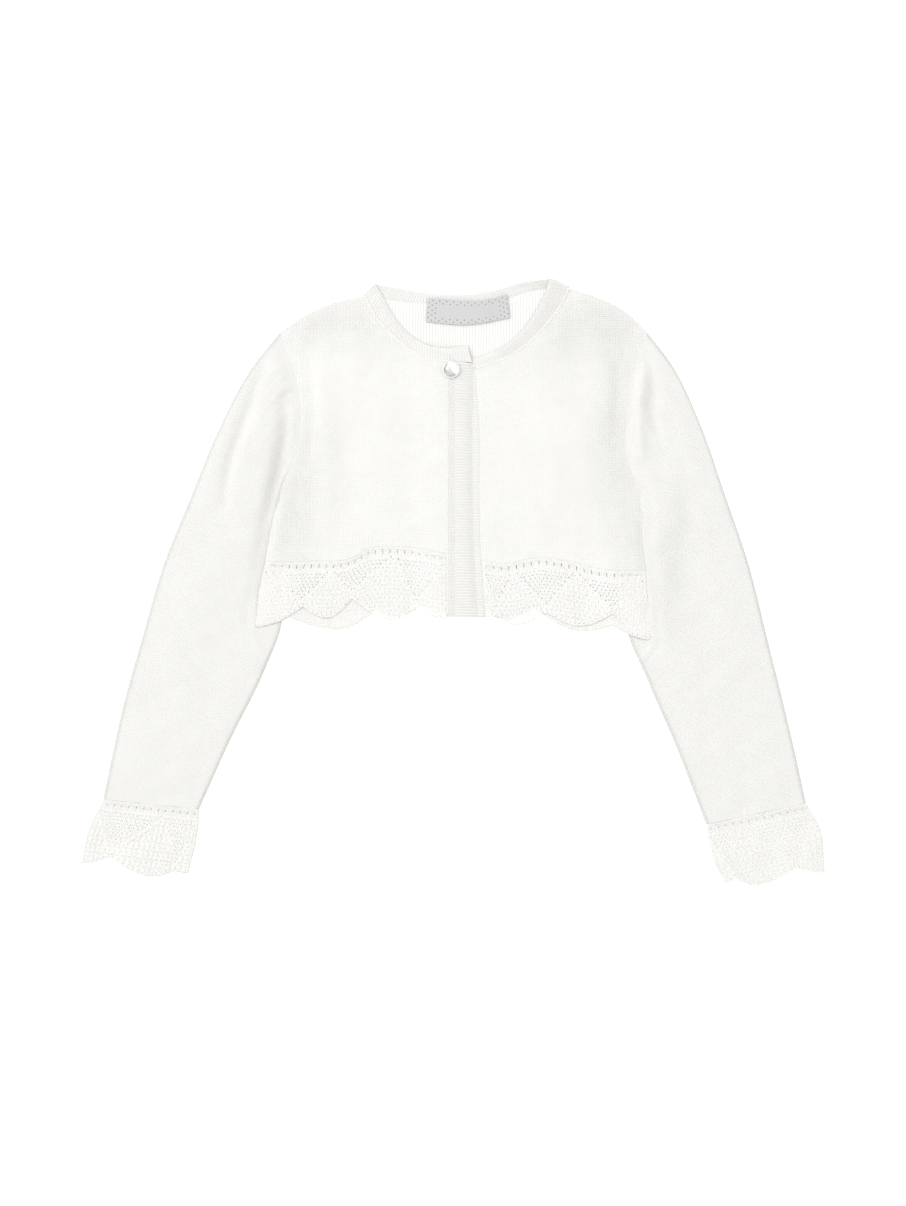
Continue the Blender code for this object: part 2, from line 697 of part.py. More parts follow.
def make_front_band(side, paint, collection):
    """A ribbed front band, its ribs lying across it."""
    if side == "right":
        free = curve(UPPER_BAND_FREE)
        seam_top = np.interp(-FRONT_EDGE_X, *reversed_seam(NECKBAND_RIGHT))
        seam = np.array([(FRONT_EDGE_X + GAP, BAND_BOTTOM_Y),
                         (FRONT_EDGE_X + GAP, seam_top - SEAM_GAP)])
        base = 2 * LAYER
    else:
        free = np.array([(UNDER_BAND_FREE_X, BAND_BOTTOM_Y),
                         (UNDER_BAND_FREE_X, UNDER_BAND_TOP_Y)])
        seam = curve(UNDER_BAND_SEAM) - np.array([SEAM_GAP, 0.0])
        base = LAYER
    length = seam[-1, 1] - seam[0, 1]
    shares = np.linspace(0.0, 1.0, 2 * round(length / RIB_PITCH) + 1)
    plan = np.stack([along(seam, shares), along(free, shares)], axis=1)
    under = np.full(plan.shape[:2], base)
    over = under + rib_tops(len(shares))[:, None]
    return slab("front_band_" + side, plan, under, over, paint, collection)


def band_sections(table, base, lift, raised_face):
    """Cross-sections of one lying stretch of the neckband."""
    seam, free = strip_edges(table)
    middle = (seam + free) / 2
    length = np.linalg.norm(np.diff(middle, axis=0), axis=1).sum()
    count = 2 * round(length / RIB_PITCH) + 1
    shares = np.linspace(0.0, 1.0, count)
    seam, free = along(seam, shares), along(free, shares)
    ribs = RIB_HEIGHT * (np.arange(count) % 2)
    sections = []
    for k in range(count):
        corners = []
        for spot in (seam[k], free[k]):
            bottom = base + lift(np.array(spot))
            top = bottom + RIB_BASE + ribs[k]
            outer, inner = (top, bottom) if raised_face == "outer" else (bottom, top)
            corners.append(((*spot, outer), (*spot, inner)))
        (seam_outer, seam_inner), (free_outer, free_inner) = corners
        sections.append((seam_outer, free_outer, free_inner, seam_inner))
    return sections


def fold_sections(strip, travel, downward):
    """Cross-sections of the neckband where it turns over at a shoulder."""
    centre_z = (LAYER + RIB_BASE) / 2
    radius = LAYER / 2
    sections = []
    for angle in (math.pi / 4, math.pi / 2, 3 * math.pi / 4):
        turn = angle if downward else math.pi - angle
        corners = []
        for x, y in ((strip.seam_x, strip.seam_y), (strip.free_x, strip.free_y)):
            pair = []
            for reach in (radius + RIB_BASE / 2, radius - RIB_BASE / 2):
                out = reach * math.sin(turn)
                pair.append((x + travel[0] * out, y + travel[1] * out,
                             centre_z + reach * math.cos(turn)))
            corners.append(pair)
        (seam_outer, seam_inner), (free_outer, free_inner) = corners
        sections.append((seam_outer, free_outer, free_inner, seam_inner))
    return sections


def outward(strip):
    """Direction away from the neck, square to a shoulder fold."""
    across = np.array([strip.free_x - strip.seam_x, strip.free_y - strip.seam_y])
    across /= np.linalg.norm(across)
    normal = np.array([-across[1], across[0]])
    away = np.array([strip.seam_x, strip.seam_y]) - np.array(NECK_CENTRE)
    return normal if normal @ away > 0 else -normal


def level_run(spot):
    """No rise, where the neckband lies level."""
    return 0.0


def make_neckband(paint, collection):
    """One ribbed strip round the neck, folded over at both shoulders."""
    sections = band_sections(NECKBAND_RIGHT, LAYER, overlap_rise, "outer")
    sections += fold_sections(NECKBAND_BACK[0], outward(NECKBAND_BACK[0]), True)
    sections += band_sections(NECKBAND_BACK, 0.0, level_run, "inner")
    sections += fold_sections(NECKBAND_LEFT[0], outward(NECKBAND_LEFT[0]), False)
    sections += band_sections(NECKBAND_LEFT, LAYER, level_run, "outer")
    shape = bmesh.new()
    rings = [[shape.verts.new((x * MM, y * MM, z * MM)) for x, y, z in section]
             for section in sections]
    skin(shape, [ring + ring[:1] for ring in rings])
    shape.faces.new(rings[0])
    shape.faces.new(rings[-1][::-1])
    return add_object("neckband", shape, paint, collection)


def make_label(paint, collection):
    """The woven label's place on the back panel, without words."""
    top = spaced(curve(LABEL_TOP), LABEL_COLUMNS)
    bottom = spaced(curve(LABEL_BOTTOM), LABEL_COLUMNS)
    plan = patch(bottom, top, np.array([bottom[0], top[0]]), np.array([bottom[-1], top[-1]]))
    under = np.full(plan.shape[:2], LAYER)
    return slab("label", plan, under, under + LABEL_WALL, paint, collection)


def make_button(paint, collection):
    """A domed shank button, turned about its axis."""
    foot = 2 * LAYER
    plate = foot + WALL + GAP
    rim = plate + BUTTON_RIM
    dome = BUTTON_RADIUS - DOME_INSET
    profile = [(0.0, rim + BUTTON_DOME)]
    for step in range(1, DOME_STEPS + 1):
        angle = step / DOME_STEPS * math.pi / 2
        profile.append((dome * math.sin(angle), rim + BUTTON_DOME * math.cos(angle)))
    profile += [(BUTTON_RADIUS, rim - RIM_BEVEL), (BUTTON_RADIUS, plate + RIM_BEVEL),
                (dome, plate), (SHANK_RADIUS, plate), (SHANK_RADIUS, foot), (0.0, foot)]
    mesh = bpy.data.meshes.new("button")
    mesh.from_pydata([(x * MM, 0.0, z * MM) for x, z in profile],
                     [(k, k + 1) for k in range(len(profile) - 1)], [])
    mesh.materials.append(paint)
    button = bpy.data.objects.new("button", mesh)
    collection.objects.link(button)
    button.location = (BUTTON_X * MM, BUTTON_Y * MM, 0.0)
    turn = button.modifiers.new("turn", "SCREW")
    turn.steps = BUTTON_SIDES
    turn.render_steps = BUTTON_SIDES
    turn.use_merge_vertices = True
    turn.merge_threshold = MERGE_REACH * MM
    return button


def cut_buttonhole(band, collection):
    """A round hole in the upper band for the button's shank."""
    depth = 3 * LAYER
    bpy.ops.mesh.primitive_cylinder_add(
        vertices=BUTTONHOLE_SIDES, radius=(SHANK_RADIUS + GAP) * MM, depth=depth * MM,
        location=(BUTTON_X * MM, BUTTON_Y * MM, (2 * LAYER + WALL / 2) * MM))
    cutter = bpy.context.active_object
    cutter.name = "buttonhole_cutter"
    cutter.hide_render = True
    cutter.display_type = "WIRE"
    for other in cutter.users_collection:
        other.objects.unlink(cutter)
    collection.objects.link(cutter)
    hole = band.modifiers.new("buttonhole", "BOOLEAN")
    hole.operation = "DIFFERENCE"
    hole.object = cutter


def main():
    """Builds every piece of the cardigan."""
    for old in list(bpy.data.objects):
        bpy.data.objects.remove(old, do_unlink=True)
    cardigan = bpy.data.collections.new("cardigan")
    cutters = bpy.data.collections.new("cutters")
    for collection in (cardigan, cutters):
        bpy.context.scene.collection.children.link(collection)

    make_back(knit("back_knit"), cardigan)
    for side in ("right", "left"):
        make_front(side, knit("front_knit_" + side), cardigan)
        make_sleeve(side, knit("sleeve_knit_" + side), cardigan)
        make_cuff(side, knit("cuff_lace_" + side), cardigan)
    for side in ("back", "right", "left"):
        make_hem_lace(side, knit("hem_lace_" + side), cardigan)
    upper_band = make_front_band("right", knit("band_rib_right"), cardigan)
    make_front_band("left", knit("band_rib_left"), cardigan)
    make_neckband(knit("neckband_rib"), cardigan)
    make_label(material("label_weave", LABEL_GREY, LABEL_ROUGHNESS), cardigan)
    make_button(material("button_pearl", PEARL_GREY, PEARL_ROUGHNESS), cardigan)
    cut_buttonhole(upper_band, cutters)


main()
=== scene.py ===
"""Looks of a girl's cropped cardigan in fine off-white cotton knit, laid flat on its back.

Every cloth piece is a thin closed shell on the form of its solid, with the folds, gathers,
ribs, seams and lace that the solid leaves out. Tables and forms are in millimetres, and
add_piece turns them into metres. Right and left are the wearer's. +Y points to the neck.
"""
import math
from collections import namedtuple

import bmesh
import bpy
import numpy as np
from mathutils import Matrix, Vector, kdtree
from mathutils.geometry import delaunay_2d_cdt


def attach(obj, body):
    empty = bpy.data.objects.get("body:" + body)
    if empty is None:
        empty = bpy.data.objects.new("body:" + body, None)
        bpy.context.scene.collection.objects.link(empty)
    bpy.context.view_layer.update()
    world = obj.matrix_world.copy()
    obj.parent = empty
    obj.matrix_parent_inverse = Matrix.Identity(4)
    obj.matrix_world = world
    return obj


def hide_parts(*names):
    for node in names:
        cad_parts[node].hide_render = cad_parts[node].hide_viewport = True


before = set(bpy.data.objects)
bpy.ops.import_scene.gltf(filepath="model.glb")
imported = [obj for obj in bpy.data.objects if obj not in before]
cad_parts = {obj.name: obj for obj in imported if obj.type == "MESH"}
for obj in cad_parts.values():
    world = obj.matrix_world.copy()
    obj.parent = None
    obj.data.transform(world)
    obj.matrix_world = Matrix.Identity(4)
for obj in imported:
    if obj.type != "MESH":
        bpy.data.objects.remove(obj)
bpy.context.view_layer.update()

# Driving dimensions in millimetres, as the solids have them
MM = 0.001
WALL = 1.4
GAP = 0.3
LAYER = WALL + GAP
RIB_BASE = 1.0
RIB_HEIGHT = WALL - RIB_BASE
RIB_PITCH = 2.0
TUCK_RISE = 2.6
TUCK_MARGIN = 6.0
TUCK_RAMP = 28.0
TUCK_STARTS_Y = 66.0
TUCK_FULL_Y = 40.0
UPPER_MARGIN = 2.0
OVERLAP_STARTS_X = -32.0
OVERLAP_FULL_X = -9.0
SHOULDER_RUN = 62.0
SLEEVE_RUN = 352.0
SLEEVE_CROWN = 2.4
CUFF_CROWN = 1.1
CROWN_CLEAR = 0.5
CROWN_RAMP = 12.0
BOW_REACH = 15.0

# Knit: stitch columns (wales) and rows (courses)
WALE = 2.0
COURSE = 1.35

# Fineness of the shells
RIM_STEPS = [0.1, 0.24, 0.5]
SAME_PLACE = 1e-4
SAME_SPOT = 1e-5
SIDE_COUNT = 44
ARMHOLE_COUNT = 92
SHOULDER_COUNT = 50
NECK_COUNT = 60
BACK_NECK_COUNT = 84
BACK_FINENESS = 0.5
SEAM_SPOTS = 60
SLEEVE_ROW_STEP = 1.7
UPPER_COLUMNS = 76
LOWER_COLUMNS = 30
FOLD_COUNT = 5
FOLD_DEGREES = 60
STRIP_SHARES = [0.0, 0.03, 0.08, *np.linspace(0.16, 0.84, 7), 0.92, 0.97, 1.0]
STEPS_PER_RIB = 8
CREASE_SAMPLES = 72
SLEEVE_SAMPLES = 481
TURNOVER_STEPS = 9

# Cloth walls: half their thickness, their rounded rims and the laps at their seams
CLOTH_HALF = 0.62
RIM_RADIUS = 0.42
RIM_LEFT = 0.8
SEAM_GAP = 0.02
BAND_LAP = 0.5
SIDE_TOP_Y = 66.0
SIDE_TOP_RAMP = 12.0
SEAM_TURN = 3.2
SIDE_DROP = 1.0
SHOULDER_LEAN = 0.4

# Soft folds: how deep they lie, and how they fade towards rims and their own ends
CREASE_DEPTH = 1.5
DEEPEST = 1.2
CREASE_FADE = 14.0
CREASE_END = 0.06
RIPPLE_FADE = 6.0
RIPPLE_WAVES = 9
RIPPLE_LENGTHS = (16.0, 55.0)

# Sleeves: their hollow, their folds, and the trough and swell beside the body's edge
SLEEVE_LAP = 0.4
SLEEVE_WALL = 0.8
FOLD_RADIUS = LAYER / 2 + WALL / 2
# Painted shade along the sleeves' folds, which also deepens the stitch relief there, and how fast it fades
FOLD_SHADE_AND_STRETCH = 1.7
FOLD_FADE = 0.8
GATHER_PEAK = 7.0
ARMPIT_TOP_Y = 84.0
ARMPIT_RAMP = 16.0
EDGE_CLEAR = 0.4
EDGE_RAMP = 4.0
SEAM_SINK = 0.3
TUCK_SINK = 1.0
SINK_REACH = 1.0
SINK_RAMP = 1.2
SINK_BOTTOM_Y = -30.0
SINK_BOTTOM_RAMP = 14.0
HUG_HEIGHT = 0.75
HUG_PLACE = 2.2
HUG_WIDTH = 3.0
CUFF_LEAD = 1.2
CUFF_EASE = 24.0
CUFF_END = 0.4

# Ribbed strips: rounded edges, the fade of their ribs, and how their free edges droop
STRIP_SEAM_RADIUS = 0.4
STRIP_SEAM_LEFT = 0.7
STRIP_END_RADIUS = 1.0
STRIP_END_LEFT = 0.35
FREE_RADIUS = 3.2
FREE_LEFT = 0.2
RIB_SWELL = 0.1
RIB_STARTS = 0.06
RIB_FADES = 0.2
RIB_END_RAMP = 0.5
DROOP = 0.7
DROOP_RUN = 6.5
UNDER_RIB_SHARE = 0.7
NECK_RIB_SHARE = 0.7
UPPER_BAND_WIDTH = 17.5
UNDER_TOP_LAP = 0.9
UPPER_TOP_LAP = 0.3
END_DROP = 0.3
END_FALL = 1.7
END_FALL_Y = 156.0
END_FALL_RAMP = 6.0
END_DROP_X = -5.0
END_DROP_RAMP = 17.0
# Painted shade on the neckband's outer face towards the left, which also deepens its stitch relief
LEFT_NECK_SHADE_AND_STRETCH = 0.9
LEFT_NECK_X = 20.0
LEFT_NECK_RAMP = 20.0

# Lace: its sheet, and how it lies
LACE_HALF = 0.3
LACE_RISE = 0.1
LACE_LAP = 0.45
LACE_LAP_RAMP = 1.5
LACE_SINK = 0.75
LACE_SINK_RAMP = 4.5
LACE_SIDE_SINK = 0.8
LACE_SIDE_X = 112.0
LACE_SIDE_RAMP = 10.0
LACE_BAND_START = 1.0
LACE_BAND_EASE = 7.0
LACE_RIPPLE_FADE = 12.0
BACK_LACE_LIFT = 0.3
CUFF_SINK = 0.8
CUFF_SINK_RAMP = 7.0
CUFF_SEAM_RISE = 0.38
CUFF_SEAM_RAMP = 4.0

# Lace: fineness, and how far its mesh keeps from rims
LACE_STEP = 0.82
BACK_LACE_STEP = 1.1
ROW_SHARE = 0.866
LACE_SIDE_COUNT = 40
DEPTH_SAMPLES = 200
LACE_LEFT_SPOTS = 30
RING_ASIDE = 0.42
RING_CLEAR = 0.5
SEAM_CLEAR = 0.01
OUTLINE_CLEAR = 0.5
END_CLEAR = 0.3
PLACE_CLEAR = 0.3
HOLE_SWOLLEN = 1.05
FILLING = -2

# Lace: its holes, each size as half its width and half its height
PATTERN_END = 60.0
SLIT_PITCH = 5.3
SLIT_DEPTH = 3.8
SLIT_SIZE = (0.22, 1.55)
SLIT_LAST = 1.5
SLIT_SIDES = 14
LONG_HOLE = 1.5
BACK_SLITS_LOWER = 3.6
WEDGE_TOP = 8.2
WEDGE_FOOT = 3.4
EYELET_PITCH = 4.3
EYELET_SIZE = (0.45, 0.45)
EYELET_SIDES = 8
EYELET_ASIDE = 2.1
EYELET_FIRST = 1.8
EYELET_LAST = 1.0
MESH_PITCH = 2.9
MESH_SIZE = (0.28, 0.28)
MESH_FIRST = 1.6
MESH_ROW_SHARE = 0.8
MESH_CLEAR = 1.6
FINE_SIZE = (0.2, 0.22)
FINE_FIRST = 1.0
PICOT_PITCH = 3.2
PICOT_SIZE = (0.24, 0.24)
PICOT_DEPTH = 1.9
PICOT_LAST = 1.0
PICOT_BUMP = 0.65
PICOT_SETBACK = 0.4
PICOT_STEP = 0.5
HOLE_MARGIN = 0.8
HOLE_FOOT = 0.75
HOLE_BESIDE = 1.0
HOLE_APART = 0.85
DEEP_NARROWING = 0.45
CUFF_DEEP = 1.0
OVERLAP_DEEP_LEAD = 6.0
OVERLAP_DEEP_RAMP = 18.0
BAND_DEEP_END = 12.0
BAND_DEEP_RAMP = 8.0

# Lace: its raised lines
STRAND_RADIUS = 0.5
STRAND_LEFT = 0.3
LACE_EDGE_RADIUS = 1.4
FOLDED_SIDE = 0.6
FOLDED_END = 1.0
RIDGE_HEIGHT = 0.32
RIDGE_WIDTH = 0.8
TWIST_LEVEL = 0.82
TWIST_SHARE = 0.18
TWIST_PITCH = 2.2
FAN_HEIGHT = 0.2
FAN_PITCH = 3.4
FAN_ROW = 3.0
LADDER_HEIGHT = 0.12
PATTERN_EASE = 3.0
LOOP_HEIGHT = 0.14
LOOP_PITCH = 2.7
LOOP_SIZE = 1.7

# Woven label, with a border of dots round its bare middle
LABEL_COLUMNS = 72
LABEL_ROWS = 22
LABEL_LENGTH = 17.0
LABEL_HALF = 0.28
LABEL_WALL = 1.0
LABEL_ROUND = 0.3
LABEL_BOW = 0.25
LABEL_DOT_PITCH_X = 2.45
LABEL_DOT_PITCH_Y = 1.75
LABEL_DOT_RADIUS = 0.42
LABEL_BARE_X = 21.0
LABEL_BARE_Y = 4.2
LABEL_THREAD = 0.28
LABEL_FILL = 0.42

# Button
BUTTON_X = -1.0
BUTTON_Y = 147.8
BUTTON_RADIUS = 6.1
BUTTON_RIM = 1.1
BUTTON_DOME = 3.1
BUTTON_LIP = 1.15
BUTTON_SIDES = 72
BUTTON_ROUNDING = (0.6, 0.85)
ROUNDING_DEGREES = range(-90, 151, 20)
SHANK_RADIUS = 1.2
DOME_INSET = 0.05
DOME_RINGS = 14
METAL_FROM_LIP = 0.02
METAL_BELOW = 0.5

# Colours and finish; the two depths, of soft light and of the label's weave, are in metres
# The cotton whites are one yarn's white in lit and shaded copies: each piece's white is set lighter or
# darker as painted light and shade, the fronts lit, the sleeves, cuffs, inside, ribs, linking threads and
# back lace shaded
SLEEVE_SHADED_WHITE = (0.830, 0.823, 0.795)
FRONT_LIT_WHITE = (0.909, 0.902, 0.870)
LACE_WHITE = (0.925, 0.915, 0.88)
CUFF_SHADED_WHITE = (0.885, 0.876, 0.842)
UNDER_SHADED_WHITE = (0.87, 0.86, 0.83)
INSIDE_SHADED_WHITE = (0.865, 0.86, 0.835)
RIB_SHADED_WHITE = (0.82, 0.813, 0.785)
CHAIN_SHADED_WHITE = (0.87, 0.863, 0.83)
LABEL_GREY = (0.655, 0.647, 0.65)
LABEL_DOT = (0.20, 0.20, 0.21)
# The pearl's two colours: its swirls run between them, and a painted highlight lightens its upper right
PEARL_SWIRL_AND_HIGHLIGHT_WHITE = (1.0, 1.0, 0.99)
PEARL_SWIRL_AND_SHADE_GREY = (0.2976, 0.2976, 0.2976)
RIM_GREY = (0.93, 0.93, 0.92)
RIM_SHADE = 0.8
# Painted shade in the stitch gaps: how dark the deepest gap gets, as a share of the white
GAP_SHADE_LEVEL = 0.1
# How much the vertex map of painted shade darkens the stitch gaps, and how much it deepens the stitch
# relief
MAP_SHADE_GAIN = 0.10
OPENED_RELIEF = 0.4
SOFT_DEPTH = 0.0018
NOISE_RANGE = (0.3, 0.7)
SHIFT_SCALE = 90.0
SHIFT_ACROSS = 0.16
SHIFT_UP = 0.2
LEG_ROUNDNESS = 0.6
STITCH_ROUNDNESS = 0.8
FUZZ_SCALE = 2600.0
FUZZ_SHARE = 0.35
CLOUD_SCALE = 42.0
CLOUD_TONE = 0.975
KNIT_ROUGHNESS = (0.96, 0.84)
DOT_EDGE = (0.5, 1.6)
FILL_SHARE = 0.4
LABEL_RELIEF = 0.00004
LABEL_ROUGHNESS = (0.62, 0.42)
SWIRL_SCALE = 420.0
SWIRL_SHARE = 0.45
# Painted highlight on the button: its slant, strength, and where it starts and ends across the dome
PAINTED_HIGHLIGHT_SLANT = 0.7
PAINTED_HIGHLIGHT_STRENGTH = 0.75
PAINTED_HIGHLIGHT_FROM = -0.5
PAINTED_HIGHLIGHT_TO = 0.7
TURNING_SCALE = 1500.0

# Stage, in metres
FLOOR_SIZE = 24.0
FLOOR_Z = -0.0002
FLOOR_GLOW = 0.74
FLOOR_WHITE = 0.42
WORLD_LIGHT = 0.86
SOFTBOX_SHAPE = 1.3

# Softboxes: name, place in metres, power in watts, width in metres
SOFTBOXES = [
    ("softbox_left", (-2.9, 1.5, 3.0), 100.0, 3.4),
    ("softbox_right", (1.9, 0.6, 3.0), 26.0, 2.6),
]

# The photograph's framing
PHOTO_HEIGHT = 1206
MM_PER_PIXEL = 0.70
VIEW_CENTRE_X = 0.35
VIEW_CENTRE_Y = -15.4
LENS = 85.0
SENSOR = 36.0

Spot = namedtuple("Spot", "x y")
Strip = namedtuple("Strip", "seam_x seam_y free_x free_y")
Tube = namedtuple("Tube", "outer_x outer_y inner_x inner_y")
Level = namedtuple("Level", "y right left")
Crease = namedtuple("Crease", "spots width height")
Gather = namedtuple("Gather", "place width height reach")
Bulge = namedtuple("Bulge", "height place width")
Ripple = namedtuple("Ripple", "seed size")
Chain = namedtuple("Chain", "half_width pinch pitch thread ways")

# A lace strip: its four edges, its width, how much lower its slits lie, whether it is a ring,
# and a function that says how deep a hollow lies behind each place across it
Lace = namedtuple("Lace", "seam edge left right width lower ring deep")
Hole = namedtuple("Hole", "s t half_s half_t")
Ridge = namedtuple("Ridge", "s0 t0 s1 t1")

# Body outline, from the hem seam to the armpit, round the armhole and along the shoulder
SIDE = {
    "right": [Spot(-131.2, 13.3), Spot(-127.0, 35.7), Spot(-123.4, 54.0), Spot(-120.0, 66.5)],
    "left": [Spot(135.1, 7.0), Spot(132.4, 32.0), Spot(133.0, 51.0), Spot(131.9, 61.6)],
}
ARMHOLE = {
    "right": [Spot(-120.0, 66.5), Spot(-109.9, 90.3), Spot(-106.6, 116.0),
              Spot(-109.2, 140.0), Spot(-121.4, 173.6)],
    "left": [Spot(131.9, 61.6), Spot(122.5, 86.1), Spot(122.4, 112.0),
             Spot(126.2, 142.0), Spot(136.8, 173.6)],
}
SHOULDER = {
    "right": [Spot(-121.4, 173.6), Spot(-105.0, 184.6), Spot(-84.0, 194.2), Spot(-61.6, 199.8)],
    "left": [Spot(136.8, 173.6), Spot(121.4, 187.9), Spot(103.9, 197.4), Spot(81.5, 204.8)],
}

# Neckband, section by section: its linked seam edge and its free edge
NECKBAND_RIGHT = [
    Strip(13.9, 152.8, 10.9, 165.2),
    Strip(-3.5, 153.4, -5.5, 163.0),
    Strip(-19.5, 156.2, -17.0, 164.9),
    Strip(-34.0, 165.0, -29.0, 172.0),
    Strip(-48.0, 178.0, -39.5, 183.5),
    Strip(-56.5, 189.5, -47.3, 196.5),
    Strip(-61.6, 199.8, -53.8, 207.9),
]
NECKBAND_BACK = [
    Strip(-61.6, 199.8, -53.8, 207.9),
    Strip(-40.0, 196.4, -38.0, 205.0),
    Strip(-15.7, 194.2, -14.5, 201.2),
    Strip(9.0, 193.5, 9.0, 200.4),
    Strip(33.2, 196.3, 31.0, 204.0),
    Strip(56.0, 203.2, 52.0, 209.6),
    Strip(81.5, 204.8, 67.5, 211.4),
]
NECKBAND_LEFT = [
    Strip(81.5, 204.8, 67.5, 211.4),
    Strip(76.6, 194.6, 64.8, 203.0),
    Strip(66.0, 180.0, 57.0, 187.5),
    Strip(48.9, 163.1, 43.5, 170.5),
    Strip(31.0, 153.4, 26.0, 159.7),
    Strip(16.4, 149.2, 14.1, 156.1),
    Strip(-4.0, 148.6, -4.0, 155.8),
]
NECK_CENTRE = (9.0, 180.0)

# Front bands, and the line where the left front is linked to its own band
FRONT_EDGE_X = -3.4
BAND_BOTTOM_Y = -24.8
LINKED_WIDTH = 5.4
UPPER_BAND_FREE = [Spot(17.2, BAND_BOTTOM_Y), Spot(14.6, 30.0), Spot(13.6, 95.0), Spot(14.2, 152.4)]
UNDER_BAND_FREE_X = -5.5
UNDER_BAND_SEAM = [Spot(23.4, -25.2), Spot(20.6, 14.7), Spot(19.2, 60.0), Spot(19.6, 100.0),
                   Spot(16.4, 148.3)]
UNDER_BAND_TOP_Y = 147.9

# Seams between the panels and the hem lace
HEM_SEAM = {
    "right": [Spot(-131.2, 13.3), Spot(-94.0, 14.0), Spot(-72.0, 15.6), Spot(-58.0, 23.0),
              Spot(-36.0, 24.2), Spot(FRONT_EDGE_X, 19.2)],
    "left": [Spot(20.6, 14.3), Spot(36.8, 12.4), Spot(60.0, 16.6), Spot(83.6, 13.3),
             Spot(104.0, 8.4), Spot(135.1, 7.0)],
    "back": [Spot(-131.2, 13.3), Spot(-60.0, 16.0), Spot(0.0, 15.0), Spot(70.0, 13.0),
             Spot(135.1, 7.0)],
}
LACE_SIDE = {
    "right": [Spot(-131.2, 13.3), Spot(-135.4, -6.3), Spot(-137.9, -32.5)],
    "left": [Spot(135.1, 7.0), Spot(136.8, -13.3), Spot(138.2, -40.0)],
}

# Scalloped edges: tips and notches by turns, starting and ending with a tip
SCALLOPS = {
    "right": [Spot(-137.9, -32.5), Spot(-104.6, -18.2), Spot(-88.5, -25.9), Spot(-70.3, -12.6),
              Spot(-41.6, -27.3), Spot(-26.2, -19.6), Spot(FRONT_EDGE_X, -26.4)],
    "left": [Spot(23.4, -25.2), Spot(30.4, -24.4), Spot(45.1, -30.8), Spot(66.1, -22.4),
             Spot(89.2, -31.5), Spot(111.6, -23.1), Spot(138.2, -39.6)],
    "back": [Spot(-137.9, -31.5), Spot(-113.7, -25.2), Spot(-80.1, -33.6), Spot(-53.5, -20.3),
             Spot(-39.5, -25.2), Spot(-22.8, -17.5), Spot(-1.8, -24.5), Spot(17.8, -17.5),
             Spot(36.8, -26.6), Spot(57.7, -18.9), Spot(90.6, -35.0), Spot(112.3, -31.1),
             Spot(138.2, -41.3)],
}
CUFF_SCALLOPS = {
    "right": [Spot(-185.5, -204.6), Spot(-194.5, -203.2), Spot(-210.0, -206.9),
              Spot(-240.0, -193.2), Spot(-260.4, -197.6)],
    "left": [Spot(190.8, -212.0), Spot(198.4, -208.4), Spot(211.3, -213.0),
             Spot(240.0, -200.9), Spot(260.8, -204.4)],
}

# Sleeves, from the shoulder and armpit down to the cuff seam
SLEEVE = {
    "right": [
        Tube(-121.4, 173.6, -120.0, 66.5),
        Tube(-141.0, 148.4, -121.6, 53.0),
        Tube(-163.4, 106.4, -124.0, 40.0),
        Tube(-184.4, 56.0, -127.9, 26.0),
        Tube(-201.9, 12.6, -124.2, 7.7),
        Tube(-216.6, -37.1, -118.8, -22.0),
        Tube(-232.0, -93.1, -132.7, -65.1),
        Tube(-238.3, -121.8, -153.5, -107.0),
        Tube(-244.6, -152.6, -177.4, -159.6),
    ],
    "left": [
        Tube(136.8, 173.6, 131.9, 61.6),
        Tube(153.6, 151.2, 131.4, 49.0),
        Tube(172.5, 112.0, 129.6, 36.0),
        Tube(190.8, 60.2, 131.2, 22.0),
        Tube(206.8, 13.3, 126.8, 2.0),
        Tube(220.1, -39.2, 121.4, -27.5),
        Tube(234.1, -95.9, 136.8, -70.0),
        Tube(240.4, -123.2, 155.5, -113.5),
        Tube(247.4, -155.4, 177.4, -170.1),
    ],
}
CUFF = {
    "right": [
        Tube(-244.6, -152.6, -177.4, -159.6),
        Tube(-254.6, -173.0, -179.4, -178.0),
        Tube(-260.4, -197.6, -185.5, -204.6),
    ],
    "left": [
        Tube(247.4, -155.4, 177.4, -170.1),
        Tube(257.0, -172.0, 181.6, -192.0),
        Tube(260.8, -204.4, 190.8, -212.0),
    ],
}

# How far each tucked sleeve edge reaches under the body, from the hem up
TUCKED = [
    Level(-60.0, -118.0, 121.0),
    Level(-22.0, -118.6, 121.4),
    Level(8.0, -124.2, 127.5),
    Level(26.0, -127.9, 131.6),
    Level(70.0, -127.9, 133.6),
]

# Below its notched tips, the hem no longer covers the sleeves
BELOW_HEM = [
    Level(-95.0, -95.0, 100.0),
    Level(-64.0, -120.0, 124.0),
    Level(-45.0, -135.0, 138.6),
]

